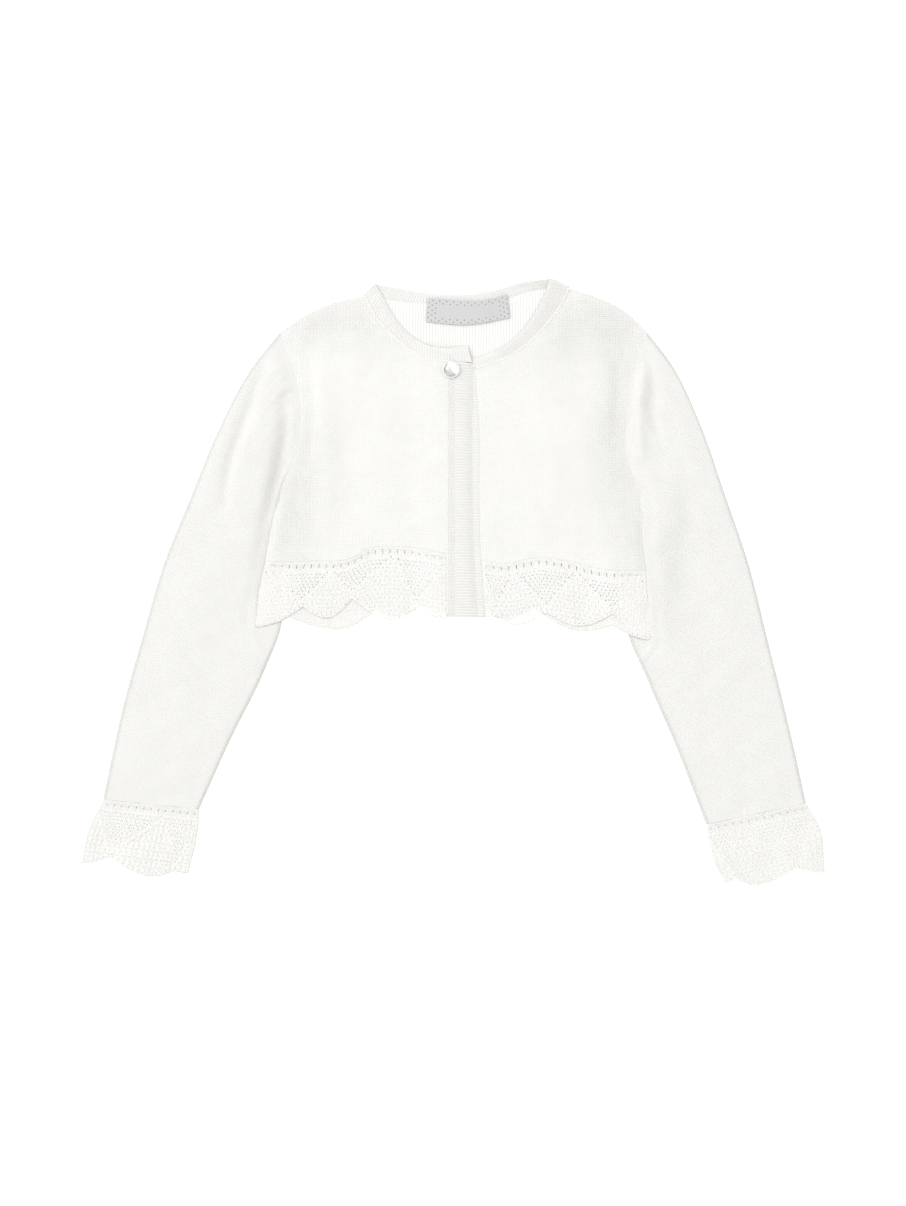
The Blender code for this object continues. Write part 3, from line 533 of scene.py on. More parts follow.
# Soft folds: ridges have a height above zero, troughs below it
FRONT_CREASES = {
    "right": [
        Crease([Spot(-90.0, 140.0), Spot(-88.0, 90.0), Spot(-88.0, 34.0)], 9.0, 1.7),
        Crease([Spot(-52.0, 118.0), Spot(-50.0, 80.0), Spot(-46.0, 48.0)], 14.0, 1.0),
        Crease([Spot(-101.0, 152.0), Spot(-99.0, 118.0), Spot(-101.0, 84.0)], 5.0, -1.3),
        Crease([Spot(-112.0, 64.0), Spot(-114.0, 40.0), Spot(-117.0, 18.0)], 6.0, -0.8),
        Crease([Spot(-96.0, 188.0), Spot(-95.0, 176.0), Spot(-98.0, 160.0)], 7.0, -0.7),
        Crease([Spot(-70.0, 182.0), Spot(-66.0, 160.0), Spot(-70.0, 128.0)], 8.0, 0.7),
    ],
    "left": [
        Crease([Spot(102.0, 172.0), Spot(108.0, 142.0), Spot(110.0, 112.0)], 8.0, 1.6),
        Crease([Spot(64.0, 128.0), Spot(69.0, 88.0), Spot(70.0, 44.0)], 15.0, 1.2),
        Crease([Spot(86.0, 186.0), Spot(86.0, 160.0), Spot(92.0, 132.0)], 7.0, -1.1),
        Crease([Spot(100.0, 96.0), Spot(105.0, 66.0), Spot(112.0, 24.0)], 7.0, -0.9),
        Crease([Spot(116.0, 150.0), Spot(114.0, 120.0), Spot(116.0, 84.0)], 4.0, -0.7),
    ],
}
# Painted shade at the shoulders and down the sides of the fronts, where the stitch relief is also deeper
FRONT_SHADE_AND_STRETCH = {
    "right": [
        Crease([Spot(-112.0, 176.0), Spot(-98.0, 180.0), Spot(-72.0, 182.0), Spot(-52.0, 172.0)],
               17.0, 0.75),
        Crease([Spot(-118.0, 4.0), Spot(-113.0, 40.0), Spot(-103.0, 76.0), Spot(-98.0, 110.0)],
               15.0, 0.85),
    ],
    "left": [
        Crease([Spot(128.0, 176.0), Spot(108.0, 182.0), Spot(88.0, 176.0), Spot(70.0, 162.0)],
               21.0, 1.0),
        Crease([Spot(126.0, 2.0), Spot(121.0, 40.0), Spot(114.0, 80.0), Spot(112.0, 130.0),
                Spot(116.0, 165.0)], 15.0, 0.95),
    ],
}
SLEEVE_CREASES = {
    "right": [
        Crease([Spot(-131.0, 154.0), Spot(-144.0, 116.0), Spot(-157.0, 76.0), Spot(-159.5, 54.0)],
               4.2, -1.9),
        Crease([Spot(-150.0, 136.0), Spot(-164.0, 96.0), Spot(-176.0, 56.0)], 8.0, 1.0),
        Crease([Spot(-176.0, 20.0), Spot(-186.0, -20.0), Spot(-196.0, -60.0)], 16.0, 0.8),
        Crease([Spot(-118.0, 128.0), Spot(-117.0, 106.0), Spot(-122.0, 76.0), Spot(-128.0, 44.0)],
               4.6, -2.8),
        Crease([Spot(-112.0, 118.0), Spot(-113.0, 100.0), Spot(-118.0, 84.0)], 2.6, 0.8),
    ],
    "left": [
        Crease([Spot(134.0, 152.0), Spot(129.5, 120.0), Spot(131.5, 88.0)], 4.2, 2.2),
        Crease([Spot(150.0, 140.0), Spot(165.0, 100.0), Spot(178.0, 60.0)], 8.0, 1.1),
        Crease([Spot(182.0, 10.0), Spot(193.0, -30.0), Spot(200.0, -70.0)], 16.0, 0.8),
        Crease([Spot(136.5, 156.0), Spot(140.0, 142.0), Spot(140.0, 118.0), Spot(144.0, 104.0)],
               4.0, -2.2),
        Crease([Spot(162.0, 62.0), Spot(157.0, 16.0), Spot(154.0, -32.0)], 10.0, -1.3),
    ],
}
# Painted shade on each sleeve beside the body, where the stitch relief is also deeper
SLEEVE_SHADE_AND_STRETCH = {
    "right": [
        Crease([Spot(-119.0, 112.0), Spot(-126.0, 62.0), Spot(-133.0, 20.0), Spot(-137.0, -14.0)],
               8.0, 0.9),
    ],
    "left": [
        Crease([Spot(162.0, 62.0), Spot(158.0, 14.0), Spot(155.0, -36.0)], 9.0, 0.7),
    ],
}
GATHERS = [
    Gather(0.44, 0.020, 0.25, 26.0), Gather(0.53, 0.022, 0.45, 44.0), Gather(0.61, 0.018, 0.3, 24.0),
    Gather(0.68, 0.024, 0.5, 52.0), Gather(0.755, 0.019, 0.35, 30.0), Gather(0.83, 0.024, 0.45, 42.0),
    Gather(0.90, 0.018, 0.3, 24.0),
]

# Raised lines of the lace, by their distance from its edge, its seam or a hole's rim
EDGE_CORD = Bulge(0.3, 1.4, 0.9)
SLIT_CORD = Bulge(0.22, 7.6, 0.6)
SEAM_CORD = Bulge(0.16, 1.0, 0.5)
STRAND = Bulge(0.12, 0.55, 0.35)

# Creased ridge of the label, by its share of the width
LABEL_RIDGE = Bulge(0.35, 0.72, 0.02)

# Slight unevenness of each kind of piece
RIPPLES = {
    "front_right": Ripple(3, 0.16), "front_left": Ripple(5, 0.16),
    "sleeve_right": Ripple(11, 0.24), "sleeve_left": Ripple(13, 0.24),
    "hem_lace": Ripple(21, 0.3), "cuff_lace": Ripple(31, 0.2),
}

# Linking stitches: on the upper band, along its seam and round the neck
BAND_LINKING = Chain(2.0, 0.3, 2.05, 0.4, (1.0, -1.0))
BAND_SEAM = Chain(0.4, 0.12, 2.05, 0.42, (1.0, -1.0, 0.0))
NECK_LINKING = Chain(0.62, 0.14, 2.0, 0.42, (1.0, -1.0, 0.0))
CHAIN_SAMPLES = 6
CHAIN_SIDES = 6
STITCH_RISE = 0.12
CORE_DROP = 0.25
CHAIN_END = 1.2
LINKING_ASIDE = 0.2
LINKING_RISE = 0.05
NECK_CHAIN_SINK = 0.1
NECK_CHAIN_END = 1.0

# Outline of the woven label
LABEL_TOP = [Spot(-17.1, 198.1), Spot(9.4, 196.2), Spot(23.0, 196.4), Spot(38.1, 200.6)]
LABEL_BOTTOM = [Spot(-18.5, 181.3), Spot(9.4, 179.2), Spot(40.2, 184.1)]


def smoothstep(value):
    """Rises from 0 to 1 with level ends."""
    share = np.clip(value, 0.0, 1.0)
    return share * share * (3.0 - 2.0 * share)


def bell(distance, width):
    """Falls from 1 at no distance to 0 some widths away, with a round top."""
    return np.exp(-((distance / width) ** 2))


def bulge(place, shape):
    """Height of a bulge at a place."""
    return shape.height * bell(place - shape.place, shape.width)


def distances(line):
    """Each point's distance along a line of points."""
    steps = np.linalg.norm(np.diff(line, axis=0), axis=1)
    return np.concatenate([[0.0], np.cumsum(steps)])


def unit_rows(rows):
    """Each row as a direction of length 1."""
    return rows / np.linalg.norm(rows, axis=1)[:, None]


def curve(points, samples=241):
    """A smooth line through the points, as closely spaced plan points."""
    knots = np.array(points, float)
    place = distances(knots)
    slopes = np.gradient(knots, place, axis=0)
    at = np.linspace(0.0, place[-1], samples)
    index = np.clip(np.searchsorted(place, at, side="right") - 1, 0, len(knots) - 2)
    length = (place[index + 1] - place[index])[:, None]
    share = (at - place[index])[:, None] / length
    start_weight = 2 * share**3 - 3 * share**2 + 1
    start_slope = share**3 - 2 * share**2 + share
    end_slope = share**3 - share**2
    return (start_weight * knots[index] + (1 - start_weight) * knots[index + 1]
            + length * (start_slope * slopes[index] + end_slope * slopes[index + 1]))


def length_shares(line):
    """Each point's share of the line's length."""
    total = distances(line)
    return total / total[-1]


def line_length(line):
    """Length of a line of points."""
    return np.linalg.norm(np.diff(line, axis=0), axis=1).sum()


def along(line, shares):
    """Points of a line at shares of its length."""
    places = length_shares(line)
    return np.stack([np.interp(shares, places, line[:, axis]) for axis in (0, 1)], axis=-1)


def joined(first, second):
    """Two point rows that meet at a corner, as one row."""
    return np.vstack([first[:-1], second])


def offset(line, distance):
    """A line moved sideways, to the left of its direction for a positive distance."""
    heading = unit_rows(np.gradient(line, axis=0))
    normal = np.stack([-heading[:, 1], heading[:, 0]], axis=-1)
    return line + distance * normal


def from_point(line, start):
    """A line bent so that it leaves from the given point."""
    place = length_shares(line) * line_length(line)
    return line + np.exp(-place / BOW_REACH)[:, None] * (start - line[0])


def patch(bottom, top, left, right):
    """Plan grid between four point rows that meet at the corners."""
    across = (length_shares(bottom) + length_shares(top)) / 2
    up = (length_shares(left) + length_shares(right)) / 2
    u = across[None, :, None]
    v = up[:, None, None]
    between_ends = (1 - v) * bottom[None] + v * top[None]
    between_sides = (1 - u) * left[:, None] + u * right[:, None]
    corners = ((1 - v) * ((1 - u) * bottom[0] + u * bottom[-1])
               + v * ((1 - u) * top[0] + u * top[-1]))
    return between_ends + between_sides - corners


def rimmed(length, count, at_start=True, at_end=True):
    """Even shares of a line, with a few more beside its rims."""
    places = list(np.linspace(0.0, length, count + 1))
    if at_start:
        places += RIM_STEPS
    if at_end:
        places += [length - step for step in RIM_STEPS]
    return np.array(sorted(places)) / length


def level_x(table, side, y):
    """The x that a table of levels gives at each y."""
    return np.interp(y, [row.y for row in table], [getattr(row, side) for row in table])


def tuck_rise(plan, margin):
    """Height that a body layer gains over the tucked sleeve edges."""
    x, y = plan[..., 0], plan[..., 1]
    right_reach = level_x(TUCKED, "right", y) + margin
    left_reach = level_x(TUCKED, "left", y) - margin
    inside = np.where(x < 0.0, x - right_reach, left_reach - x)
    sideways = smoothstep(1.0 - inside / TUCK_RAMP)
    upward = smoothstep((TUCK_STARTS_Y - y) / (TUCK_STARTS_Y - TUCK_FULL_Y))
    return TUCK_RISE * sideways * upward


def overlap_rise(plan):
    """Height that the right front gains to lie over the left front's band."""
    run = OVERLAP_FULL_X - OVERLAP_STARTS_X
    return LAYER * smoothstep((plan[..., 0] - OVERLAP_STARTS_X) / run)


def body_outline(side, y):
    """The x of the body's outline at each y, from below the hem up round the armhole."""
    below = np.array([(getattr(row, side), row.y) for row in BELOW_HEM])
    line = np.vstack([below, curve(LACE_SIDE[side])[::-1], curve(SIDE[side]), curve(ARMHOLE[side])])
    return np.interp(y, line[:, 1], line[:, 0])


def side_closing(plan):
    """Share, 0 to 1, by which front and back come together at the side seams."""
    x, y = plan[..., 0], plan[..., 1]
    edge = np.where(x < 0.0, body_outline("right", y), body_outline("left", y))
    return bell(x - edge, SEAM_TURN) * smoothstep((SIDE_TOP_Y - y) / SIDE_TOP_RAMP)


def shoulder_closing(plan):
    """How far front and back each lean towards the other along the shoulder seams."""
    x, y = plan[..., 0], plan[..., 1]
    line = np.vstack([curve(SHOULDER["right"]), curve(SHOULDER["left"])[::-1]])
    return SHOULDER_LEAN * bell(np.interp(x, line[:, 0], line[:, 1]) - y, SEAM_TURN)


def body_level(side, plan):
    """Height of the underside of a body layer: the back, or the right or left front."""
    closed = side_closing(plan)
    lean = shoulder_closing(plan)
    if side == "back":
        return tuck_rise(plan, TUCK_MARGIN) + closed * (LAYER / 2 - SIDE_DROP) + lean
    level = LAYER + tuck_rise(plan, TUCK_MARGIN + UPPER_MARGIN) - closed * (LAYER / 2 + SIDE_DROP)
    level = level - lean
    if side == "right":
        level = level + overlap_rise(plan)
    return level


def crease_height(plan, creases):
    """Height that soft ridges and troughs add, fading out at their ends."""
    height = np.zeros(plan.shape[:-1])
    flat = plan.reshape(-1, 2)
    for crease in creases:
        line = curve(crease.spots, CREASE_SAMPLES)
        apart = np.linalg.norm(flat[:, None] - line[None], axis=-1)
        nearest = apart.argmin(axis=1)
        share = nearest / (len(line) - 1)
        taper = np.sqrt(np.sin(np.pi * (CREASE_END + (1 - 2 * CREASE_END) * share)))
        wave = crease.height * taper * bell(apart.min(axis=1), crease.width)
        height += wave.reshape(height.shape)
    return height


def ripple(plan, kind):
    """Slight unevenness of hand-laid cloth: a few long crossing waves."""
    chance = np.random.RandomState(RIPPLES[kind].seed)
    height = np.zeros(plan.shape[:-1])
    for _ in range(RIPPLE_WAVES):
        heading = chance.uniform(0.0, math.pi)
        length = chance.uniform(*RIPPLE_LENGTHS)
        phase = chance.uniform(0.0, 2 * math.pi)
        run = plan[..., 0] * math.cos(heading) + plan[..., 1] * math.sin(heading)
        height += RIPPLES[kind].size / 3 * np.sin(2 * math.pi * run / length + phase)
    return height


def rim_distance(plan):
    """Distance of each grid point from the nearest end of its row or column."""
    def from_ends(grid):
        steps = np.linalg.norm(np.diff(grid, axis=0), axis=-1)
        run = np.concatenate([np.zeros((1, grid.shape[1])), np.cumsum(steps, axis=0)])
        return np.minimum(run, run[-1] - run)

    return np.minimum(from_ends(plan), from_ends(plan.transpose(1, 0, 2)).T)


def rolled(distance, radius=RIM_RADIUS, least=RIM_LEFT):
    """Share of a wall's thickness left at a distance from its rounded rim."""
    share = np.clip(distance / radius, 0.0, 1.0)
    return least + (1 - least) * np.sqrt(1 - (1 - share) ** 2)


def scallop_y(knots, u):
    """Height of a scalloped edge at shares of its width: round at the tips, sharp at the notches."""
    x = np.array([knot.x for knot in knots])
    y = np.array([knot.y for knot in knots])
    at = (x - x[0]) / (x[-1] - x[0])
    index = np.clip(np.searchsorted(at, u, side="right") - 1, 0, len(at) - 2)
    share = (u - at[index]) / (at[index + 1] - at[index])
    to_notch = 1 - np.cos(share * math.pi / 2)
    to_tip = np.sin(share * math.pi / 2)
    rise = np.where(index % 2 == 0, to_notch, to_tip)
    return y[index] + rise * (y[index + 1] - y[index])


def strip_edges(table):
    """The seam edge and the free edge of a ribbed strip, as smooth lines."""
    seam = curve([(row.seam_x, row.seam_y) for row in table])
    free = curve([(row.free_x, row.free_y) for row in table])
    return seam, free


def grid_faces(rows, columns, first=0, closed=False):
    """Quads of a grid of vertices, numbered row by row."""
    index = first + np.arange(rows * columns).reshape(rows, columns)
    if closed:
        index = np.hstack([index, index[:, :1]])
    return np.stack([index[:-1, :-1], index[:-1, 1:], index[1:, 1:], index[1:, :-1]],
                    axis=-1).reshape(-1, 4)


def rim_numbers(rows, columns):
    """Vertex numbers round the rim of a grid, in order."""
    index = np.arange(rows * columns).reshape(rows, columns)
    return np.concatenate([index[0], index[1:-1, -1], index[-1, ::-1], index[-2:0:-1, 0]])


def set_shade_and_stretch(piece, shade_and_stretch):
    """Tells the knit, vertex by vertex, where to paint shade into its stitch gaps and where its stitches
    stand out more.
    """
    layer = piece.data.attributes.new("shade_and_stretch", "FLOAT", "POINT")
    layer.data.foreach_set("value", shade_and_stretch.astype(np.float32).ravel())


def add_piece(name, points, face_sets, uv, paint, uv_sets=None):
    """Makes a smooth mesh piece from points in millimetres, with cloth coordinates in metres."""
    mesh = bpy.data.meshes.new(name)
    resting = np.column_stack([points[:, :2], np.maximum(points[:, 2], 0.0)])
    mesh.vertices.add(len(points))
    mesh.vertices.foreach_set("co", (resting * MM).astype(np.float32).ravel())
    corners = np.concatenate([faces.ravel() for faces in face_sets])
    sizes = np.concatenate([np.full(len(faces), faces.shape[1]) for faces in face_sets])
    mesh.loops.add(len(corners))
    mesh.loops.foreach_set("vertex_index", corners)
    mesh.polygons.add(len(sizes))
    mesh.polygons.foreach_set("loop_start", np.concatenate([[0], np.cumsum(sizes)[:-1]]))
    mesh.update(calc_edges=True)
    uv_corners = corners if uv_sets is None else np.concatenate([faces.ravel() for faces in uv_sets])
    layer = mesh.uv_layers.new(name="cloth")
    layer.data.foreach_set("uv", (uv[uv_corners] * MM).astype(np.float32).ravel())
    shape = bmesh.new()
    shape.from_mesh(mesh)
    bmesh.ops.recalc_face_normals(shape, faces=shape.faces)
    shape.to_mesh(mesh)
    shape.free()
    mesh.shade_smooth()
    mesh.materials.append(paint)
    piece = bpy.data.objects.new(name, mesh)
    bpy.context.scene.collection.objects.link(piece)
    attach(piece, "root")
    return piece


def add_wall(name, plan, middle, thick, uv, paint):
    """A closed wall over a plan grid, from the heights of its middle and half its thickness."""
    rows, columns = plan.shape[:2]
    over = np.dstack([plan, middle + thick]).reshape(-1, 3)
    below = np.dstack([plan, middle - thick]).reshape(-1, 3)
    count = rows * columns
    rim = rim_numbers(rows, columns)
    after = np.roll(rim, -1)
    faces = [grid_faces(rows, columns), grid_faces(rows, columns, count)[:, ::-1],
             np.stack([rim, after, after + count, rim + count], axis=-1)]
    return add_piece(name, np.vstack([over, below]), faces, np.tile(uv, (2, 1)), paint)


def add_panel(name, plan, under, paint):
    """A panel's cloth over its plan grid, round at its rim."""
    thick = CLOTH_HALF * rolled(rim_distance(plan))
    return add_wall(name, plan, under + WALL / 2, thick, plan.reshape(-1, 2), paint)


def math_node(tree, operation, *values):
    """A Math node fed by sockets or numbers."""
    node = tree.nodes.new("ShaderNodeMath")
    node.operation = operation
    for socket, value in zip(node.inputs, values):
        if isinstance(value, (int, float)):
            socket.default_value = value
        else:
            tree.links.new(value, socket)
    return node.outputs[0]


def half_wave(tree, value):
    """Rises from 0 to 1 and back while a value goes from 0 to 1."""
    return math_node(tree, "SINE", math_node(tree, "MULTIPLY", value, math.pi))


def split_node(tree, vector):
    """A vector's X and Y."""
    node = tree.nodes.new("ShaderNodeSeparateXYZ")
    tree.links.new(vector, node.inputs["Vector"])
    return node.outputs["X"], node.outputs["Y"]


def noise_node(tree, vector, scale, detail=2.0):
    """A Noise Texture's value over a vector."""
    node = tree.nodes.new("ShaderNodeTexNoise")
    node.inputs["Scale"].default_value = scale
    node.inputs["Detail"].default_value = detail
    tree.links.new(vector, node.inputs["Vector"])
    return node.outputs["Fac"]


def ranged(tree, value, low, high, to_low, to_high):
    """A value carried from one range to another."""
    node = tree.nodes.new("ShaderNodeMapRange")
    tree.links.new(value, node.inputs["Value"])
    for name, number in (("From Min", low), ("From Max", high), ("To Min", to_low), ("To Max", to_high)):
        node.inputs[name].default_value = number
    return node.outputs["Result"]


def mixed_colour(tree, share, first, second):
    """A colour between two colours."""
    node = tree.nodes.new("ShaderNodeMix")
    node.data_type = "RGBA"
    tree.links.new(share, node.inputs["Factor"])
    node.inputs["A"].default_value = (*first, 1.0)
    node.inputs["B"].default_value = (*second, 1.0)
    return node.outputs["Result"]


def bump_node(tree, height, distance):
    """A Bump node of a real height in metres."""
    node = tree.nodes.new("ShaderNodeBump")
    node.inputs["Strength"].default_value = 1.0
    node.inputs["Distance"].default_value = distance
    tree.links.new(height, node.inputs["Height"])
    return node.outputs["Normal"]


def new_paint(name, roughness):
    """A material with its tree, its shader and the piece's cloth coordinates."""
    paint = bpy.data.materials.new(name)
    paint.use_nodes = True
    tree = paint.node_tree
    shader = tree.nodes["Principled BSDF"]
    shader.inputs["Roughness"].default_value = roughness
    place = tree.nodes.new("ShaderNodeUVMap")
    place.uv_map = "cloth"
    return paint, tree, shader, place.outputs["UV"]


def stitch_height(tree, uv, lean, valley, legs):
    """Height of knit stitches, 0 to 1: leaning legs in each wale, one pair in each course."""
    shift = noise_node(tree, uv, SHIFT_SCALE)
    x, y = split_node(tree, uv)
    across = math_node(tree, "MULTIPLY_ADD", x, 1 / (WALE * MM),
                       ranged(tree, shift, *NOISE_RANGE, -SHIFT_ACROSS, SHIFT_ACROSS))
    up = math_node(tree, "MULTIPLY_ADD", y, 1 / (COURSE * MM),
                   ranged(tree, shift, *NOISE_RANGE, SHIFT_UP, -SHIFT_UP))
    leg = math_node(tree, "FRACT", across)
    if legs == 2:
        from_middle = math_node(tree, "ABSOLUTE", math_node(tree, "SUBTRACT", leg, 0.5))
        leg = math_node(tree, "MULTIPLY", from_middle, 2.0)
    leaning = math_node(tree, "FRACT", math_node(tree, "MULTIPLY_ADD", leg, lean, up))
    softened = math_node(tree, "MULTIPLY_ADD", half_wave(tree, leaning), 1.0 - valley, valley)
    profile = math_node(tree, "POWER", half_wave(tree, leg), LEG_ROUNDNESS)
    both = math_node(tree, "MULTIPLY", profile, softened)
    return math_node(tree, "POWER", math_node(tree, "MAXIMUM", both, 0.0), STITCH_ROUNDNESS)


def pebble_height(tree, uv, size):
    """Height of small round loops, 0 to 1, of a size in metres."""
    node = tree.nodes.new("ShaderNodeTexVoronoi")
    node.feature = "F1"
    node.inputs["Scale"].default_value = 1 / size
    tree.links.new(uv, node.inputs["Vector"])
    return ranged(tree, node.outputs["Distance"], 0.0, 0.75, 1.0, 0.0)


def knit_paint(name, colour, depth, lean=0.42, valley=0.1, shade=0.12, soft=0.0, legs=2,
               loops=0.0):
    """Fine cotton knit: stitches with painted shade in the gaps between them, yarn fuzz, a slight
    unevenness of tone and a soft sheen.
    """
    paint, tree, shader, uv = new_paint(name, 0.9)
    stitch = stitch_height(tree, uv, lean, valley, legs)
    fuzz = noise_node(tree, uv, FUZZ_SCALE, 3.0)
    cloudy = noise_node(tree, uv, CLOUD_SCALE, 3.0)
    # The vertex map of painted shade, which also deepens the stitch relief
    shade_and_stretch_node = tree.nodes.new("ShaderNodeAttribute")
    shade_and_stretch_node.attribute_name = "shade_and_stretch"
    # Painted shade: the colour darkens in the gaps between stitches, more where the vertex map of painted
    # shade is high
    gap = math_node(tree, "SUBTRACT", 1.0, stitch)
    wide = math_node(tree, "MULTIPLY_ADD", shade_and_stretch_node.outputs["Fac"], MAP_SHADE_GAIN, shade)
    gap_shade_colour = tuple(channel * GAP_SHADE_LEVEL for channel in colour)
    gap_shaded = mixed_colour(tree, math_node(tree, "MULTIPLY", gap, wide), colour, gap_shade_colour)
    tone = ranged(tree, cloudy, *NOISE_RANGE, CLOUD_TONE, 1.0)
    scale = tree.nodes.new("ShaderNodeVectorMath")
    scale.operation = "SCALE"
    tree.links.new(gap_shaded, scale.inputs[0])
    tree.links.new(tone, scale.inputs["Scale"])
    tree.links.new(scale.outputs["Vector"], shader.inputs["Base Color"])
    raised = math_node(tree, "MULTIPLY", stitch, math_node(
        tree, "MULTIPLY_ADD", shade_and_stretch_node.outputs["Fac"], OPENED_RELIEF, 1.0))
    relief = math_node(tree, "MULTIPLY_ADD", fuzz, FUZZ_SHARE, raised)
    if loops:
        relief = math_node(tree, "MULTIPLY_ADD", pebble_height(tree, uv, LOOP_SIZE * MM), loops, relief)
    tree.links.new(bump_node(tree, relief, depth), shader.inputs["Normal"])
    tree.links.new(ranged(tree, stitch, 0.0, 1.0, *KNIT_ROUGHNESS), shader.inputs["Roughness"])
    shader.inputs["Sheen Weight"].default_value = 0.12
    shader.inputs["Sheen Roughness"].default_value = 0.45
    shader.inputs["Specular IOR Level"].default_value = 0.25
    shader.inputs["Subsurface Weight"].default_value = soft
    shader.inputs["Subsurface Radius"].default_value = (1.0, 1.0, 1.0)
    shader.inputs["Subsurface Scale"].default_value = SOFT_DEPTH
    return paint


def dot_offset(tree, place, pitch, stagger):
    """Offset from the nearest dot along one axis, in dot radii."""
    run = math_node(tree, "MULTIPLY", place, 1 / (2 * pitch * MM))
    share = math_node(tree, "FRACT", math_node(tree, "ADD", run, stagger))
    return math_node(tree, "MULTIPLY", math_node(tree, "SUBTRACT", share, 0.5),
                     2 * pitch / LABEL_DOT_RADIUS)


def thread_wave(tree, place, pitch):
    """A wave that repeats at a pitch of threads."""
    return math_node(tree, "SINE", math_node(tree, "MULTIPLY", place, 2 * math.pi / (pitch * MM)))


def beyond(tree, place, limit):
    """1 where a place is further from the middle than a limit."""
    return math_node(tree, "GREATER_THAN", math_node(tree, "ABSOLUTE", place), limit * MM)


def label_paint():
    """Pale grey satin tape with a staggered border of small dark dots and a bare middle."""
    paint, tree, shader, uv = new_paint("label_weave", 0.55)
    x, y = split_node(tree, uv)
    dots = []
    for stagger in (0.0, 0.5):
        far_x = dot_offset(tree, x, LABEL_DOT_PITCH_X, stagger)
        far_y = dot_offset(tree, y, LABEL_DOT_PITCH_Y, stagger)
        apart = math_node(tree, "ADD", math_node(tree, "MULTIPLY", far_x, far_x),
                          math_node(tree, "MULTIPLY", far_y, far_y))
        dots.append(ranged(tree, apart, *DOT_EDGE, 1.0, 0.0))
    border = math_node(tree, "MAXIMUM", beyond(tree, x, LABEL_BARE_X), beyond(tree, y, LABEL_BARE_Y))
    weave = math_node(tree, "MULTIPLY_ADD", thread_wave(tree, x, LABEL_FILL), FILL_SHARE,
                      thread_wave(tree, y, LABEL_THREAD))
    shown = math_node(tree, "MULTIPLY", math_node(tree, "MAXIMUM", *dots), border)
    tree.links.new(mixed_colour(tree, shown, LABEL_GREY, LABEL_DOT), shader.inputs["Base Color"])
    tree.links.new(bump_node(tree, weave, LABEL_RELIEF), shader.inputs["Normal"])
    swing = 1.0 + FILL_SHARE
    tree.links.new(ranged(tree, weave, -swing, swing, *LABEL_ROUGHNESS), shader.inputs["Roughness"])
    shader.inputs["Sheen Weight"].default_value = 0.2
    return paint


def pearl_paint():
    """Silvery pearl: cloudy swirls under a clear coat, with a painted highlight that lightens the dome's
    upper-right half and leaves its lower left darker.
    """
    paint, tree, shader, _ = new_paint("button_pearl", 0.2)
    place = tree.nodes.new("ShaderNodeTexCoord")
    swirl = noise_node(tree, place.outputs["Object"], SWIRL_SCALE, 4.0)
    x, y = split_node(tree, place.outputs["Object"])
    # Painted highlight: lighter towards the upper right, across a slanted line near the dome's middle
    aside = math_node(tree, "ADD", x, math_node(tree, "MULTIPLY", y, PAINTED_HIGHLIGHT_SLANT))
    start = (BUTTON_X + PAINTED_HIGHLIGHT_SLANT * BUTTON_Y) * MM
    painted_highlight = ranged(tree, aside, start + PAINTED_HIGHLIGHT_FROM * MM, start + PAINTED_HIGHLIGHT_TO * MM,
                   0.0, PAINTED_HIGHLIGHT_STRENGTH)
    swirl_and_highlight = math_node(tree, "MULTIPLY_ADD", ranged(tree, swirl, 0.3, 0.55, 0.0, 1.0), SWIRL_SHARE,
                      painted_highlight)
    tree.links.new(mixed_colour(tree, swirl_and_highlight, PEARL_SWIRL_AND_SHADE_GREY, PEARL_SWIRL_AND_HIGHLIGHT_WHITE), shader.inputs["Base Color"])
    tree.links.new(ranged(tree, swirl, *NOISE_RANGE, 0.12, 0.3), shader.inputs["Roughness"])
    shader.inputs["Metallic"].default_value = 0.1
    shader.inputs["Coat Weight"].default_value = 1.0
    shader.inputs["Coat Roughness"].default_value = 0.03
    return paint


def rim_paint():
    """Polished silvery metal with fine turning marks."""
    paint, tree, shader, _ = new_paint("button_rim", 0.16)
    place = tree.nodes.new("ShaderNodeTexCoord")
    marks = noise_node(tree, place.outputs["Object"], TURNING_SCALE, 2.0)
    shaded = tuple(channel * RIM_SHADE for channel in RIM_GREY)
    tree.links.new(mixed_colour(tree, marks, shaded, RIM_GREY), shader.inputs["Base Color"])
    tree.links.new(ranged(tree, marks, 0.2, 0.8, 0.1, 0.25), shader.inputs["Roughness"])
    shader.inputs["Metallic"].default_value = 0.25
    return paint


def body_edge(side, fineness=1.0):
    """Plan points up a panel's side seam and round its armhole."""
    low, high = curve(SIDE[side]), curve(ARMHOLE[side])
    low_count, high_count = round(SIDE_COUNT * fineness), round(ARMHOLE_COUNT * fineness)
    return joined(along(low, rimmed(line_length(low), low_count, True, False)),
                  along(high, rimmed(line_length(high), high_count, False, True)))


def shoulder_row(side):
    """Plan points along a shoulder, from the armhole to the neck."""
    line = curve(SHOULDER[side])
    return along(line, rimmed(line_length(line), SHOULDER_COUNT, True, False))


def hem_row(side, neck_count, both_ends):
    """Plan points along a panel's hem seam, from its side."""
    line = curve(HEM_SEAM[side])
    if side == "left":
        line = line[::-1]
    length = line_length(line)
    first = rimmed(SHOULDER_RUN, SHOULDER_COUNT, True, False) * SHOULDER_RUN
    if both_ends:
        middle = np.linspace(SHOULDER_RUN, length - SHOULDER_RUN, neck_count + 1)
        places = np.concatenate([first[:-1], middle, (length - first[::-1])[1:]])
    else:
        rest = SHOULDER_RUN + rimmed(length - SHOULDER_RUN, neck_count, False, True) * (
            length - SHOULDER_RUN)
        places = np.concatenate([first[:-1], rest])
    return along(line, places / length)


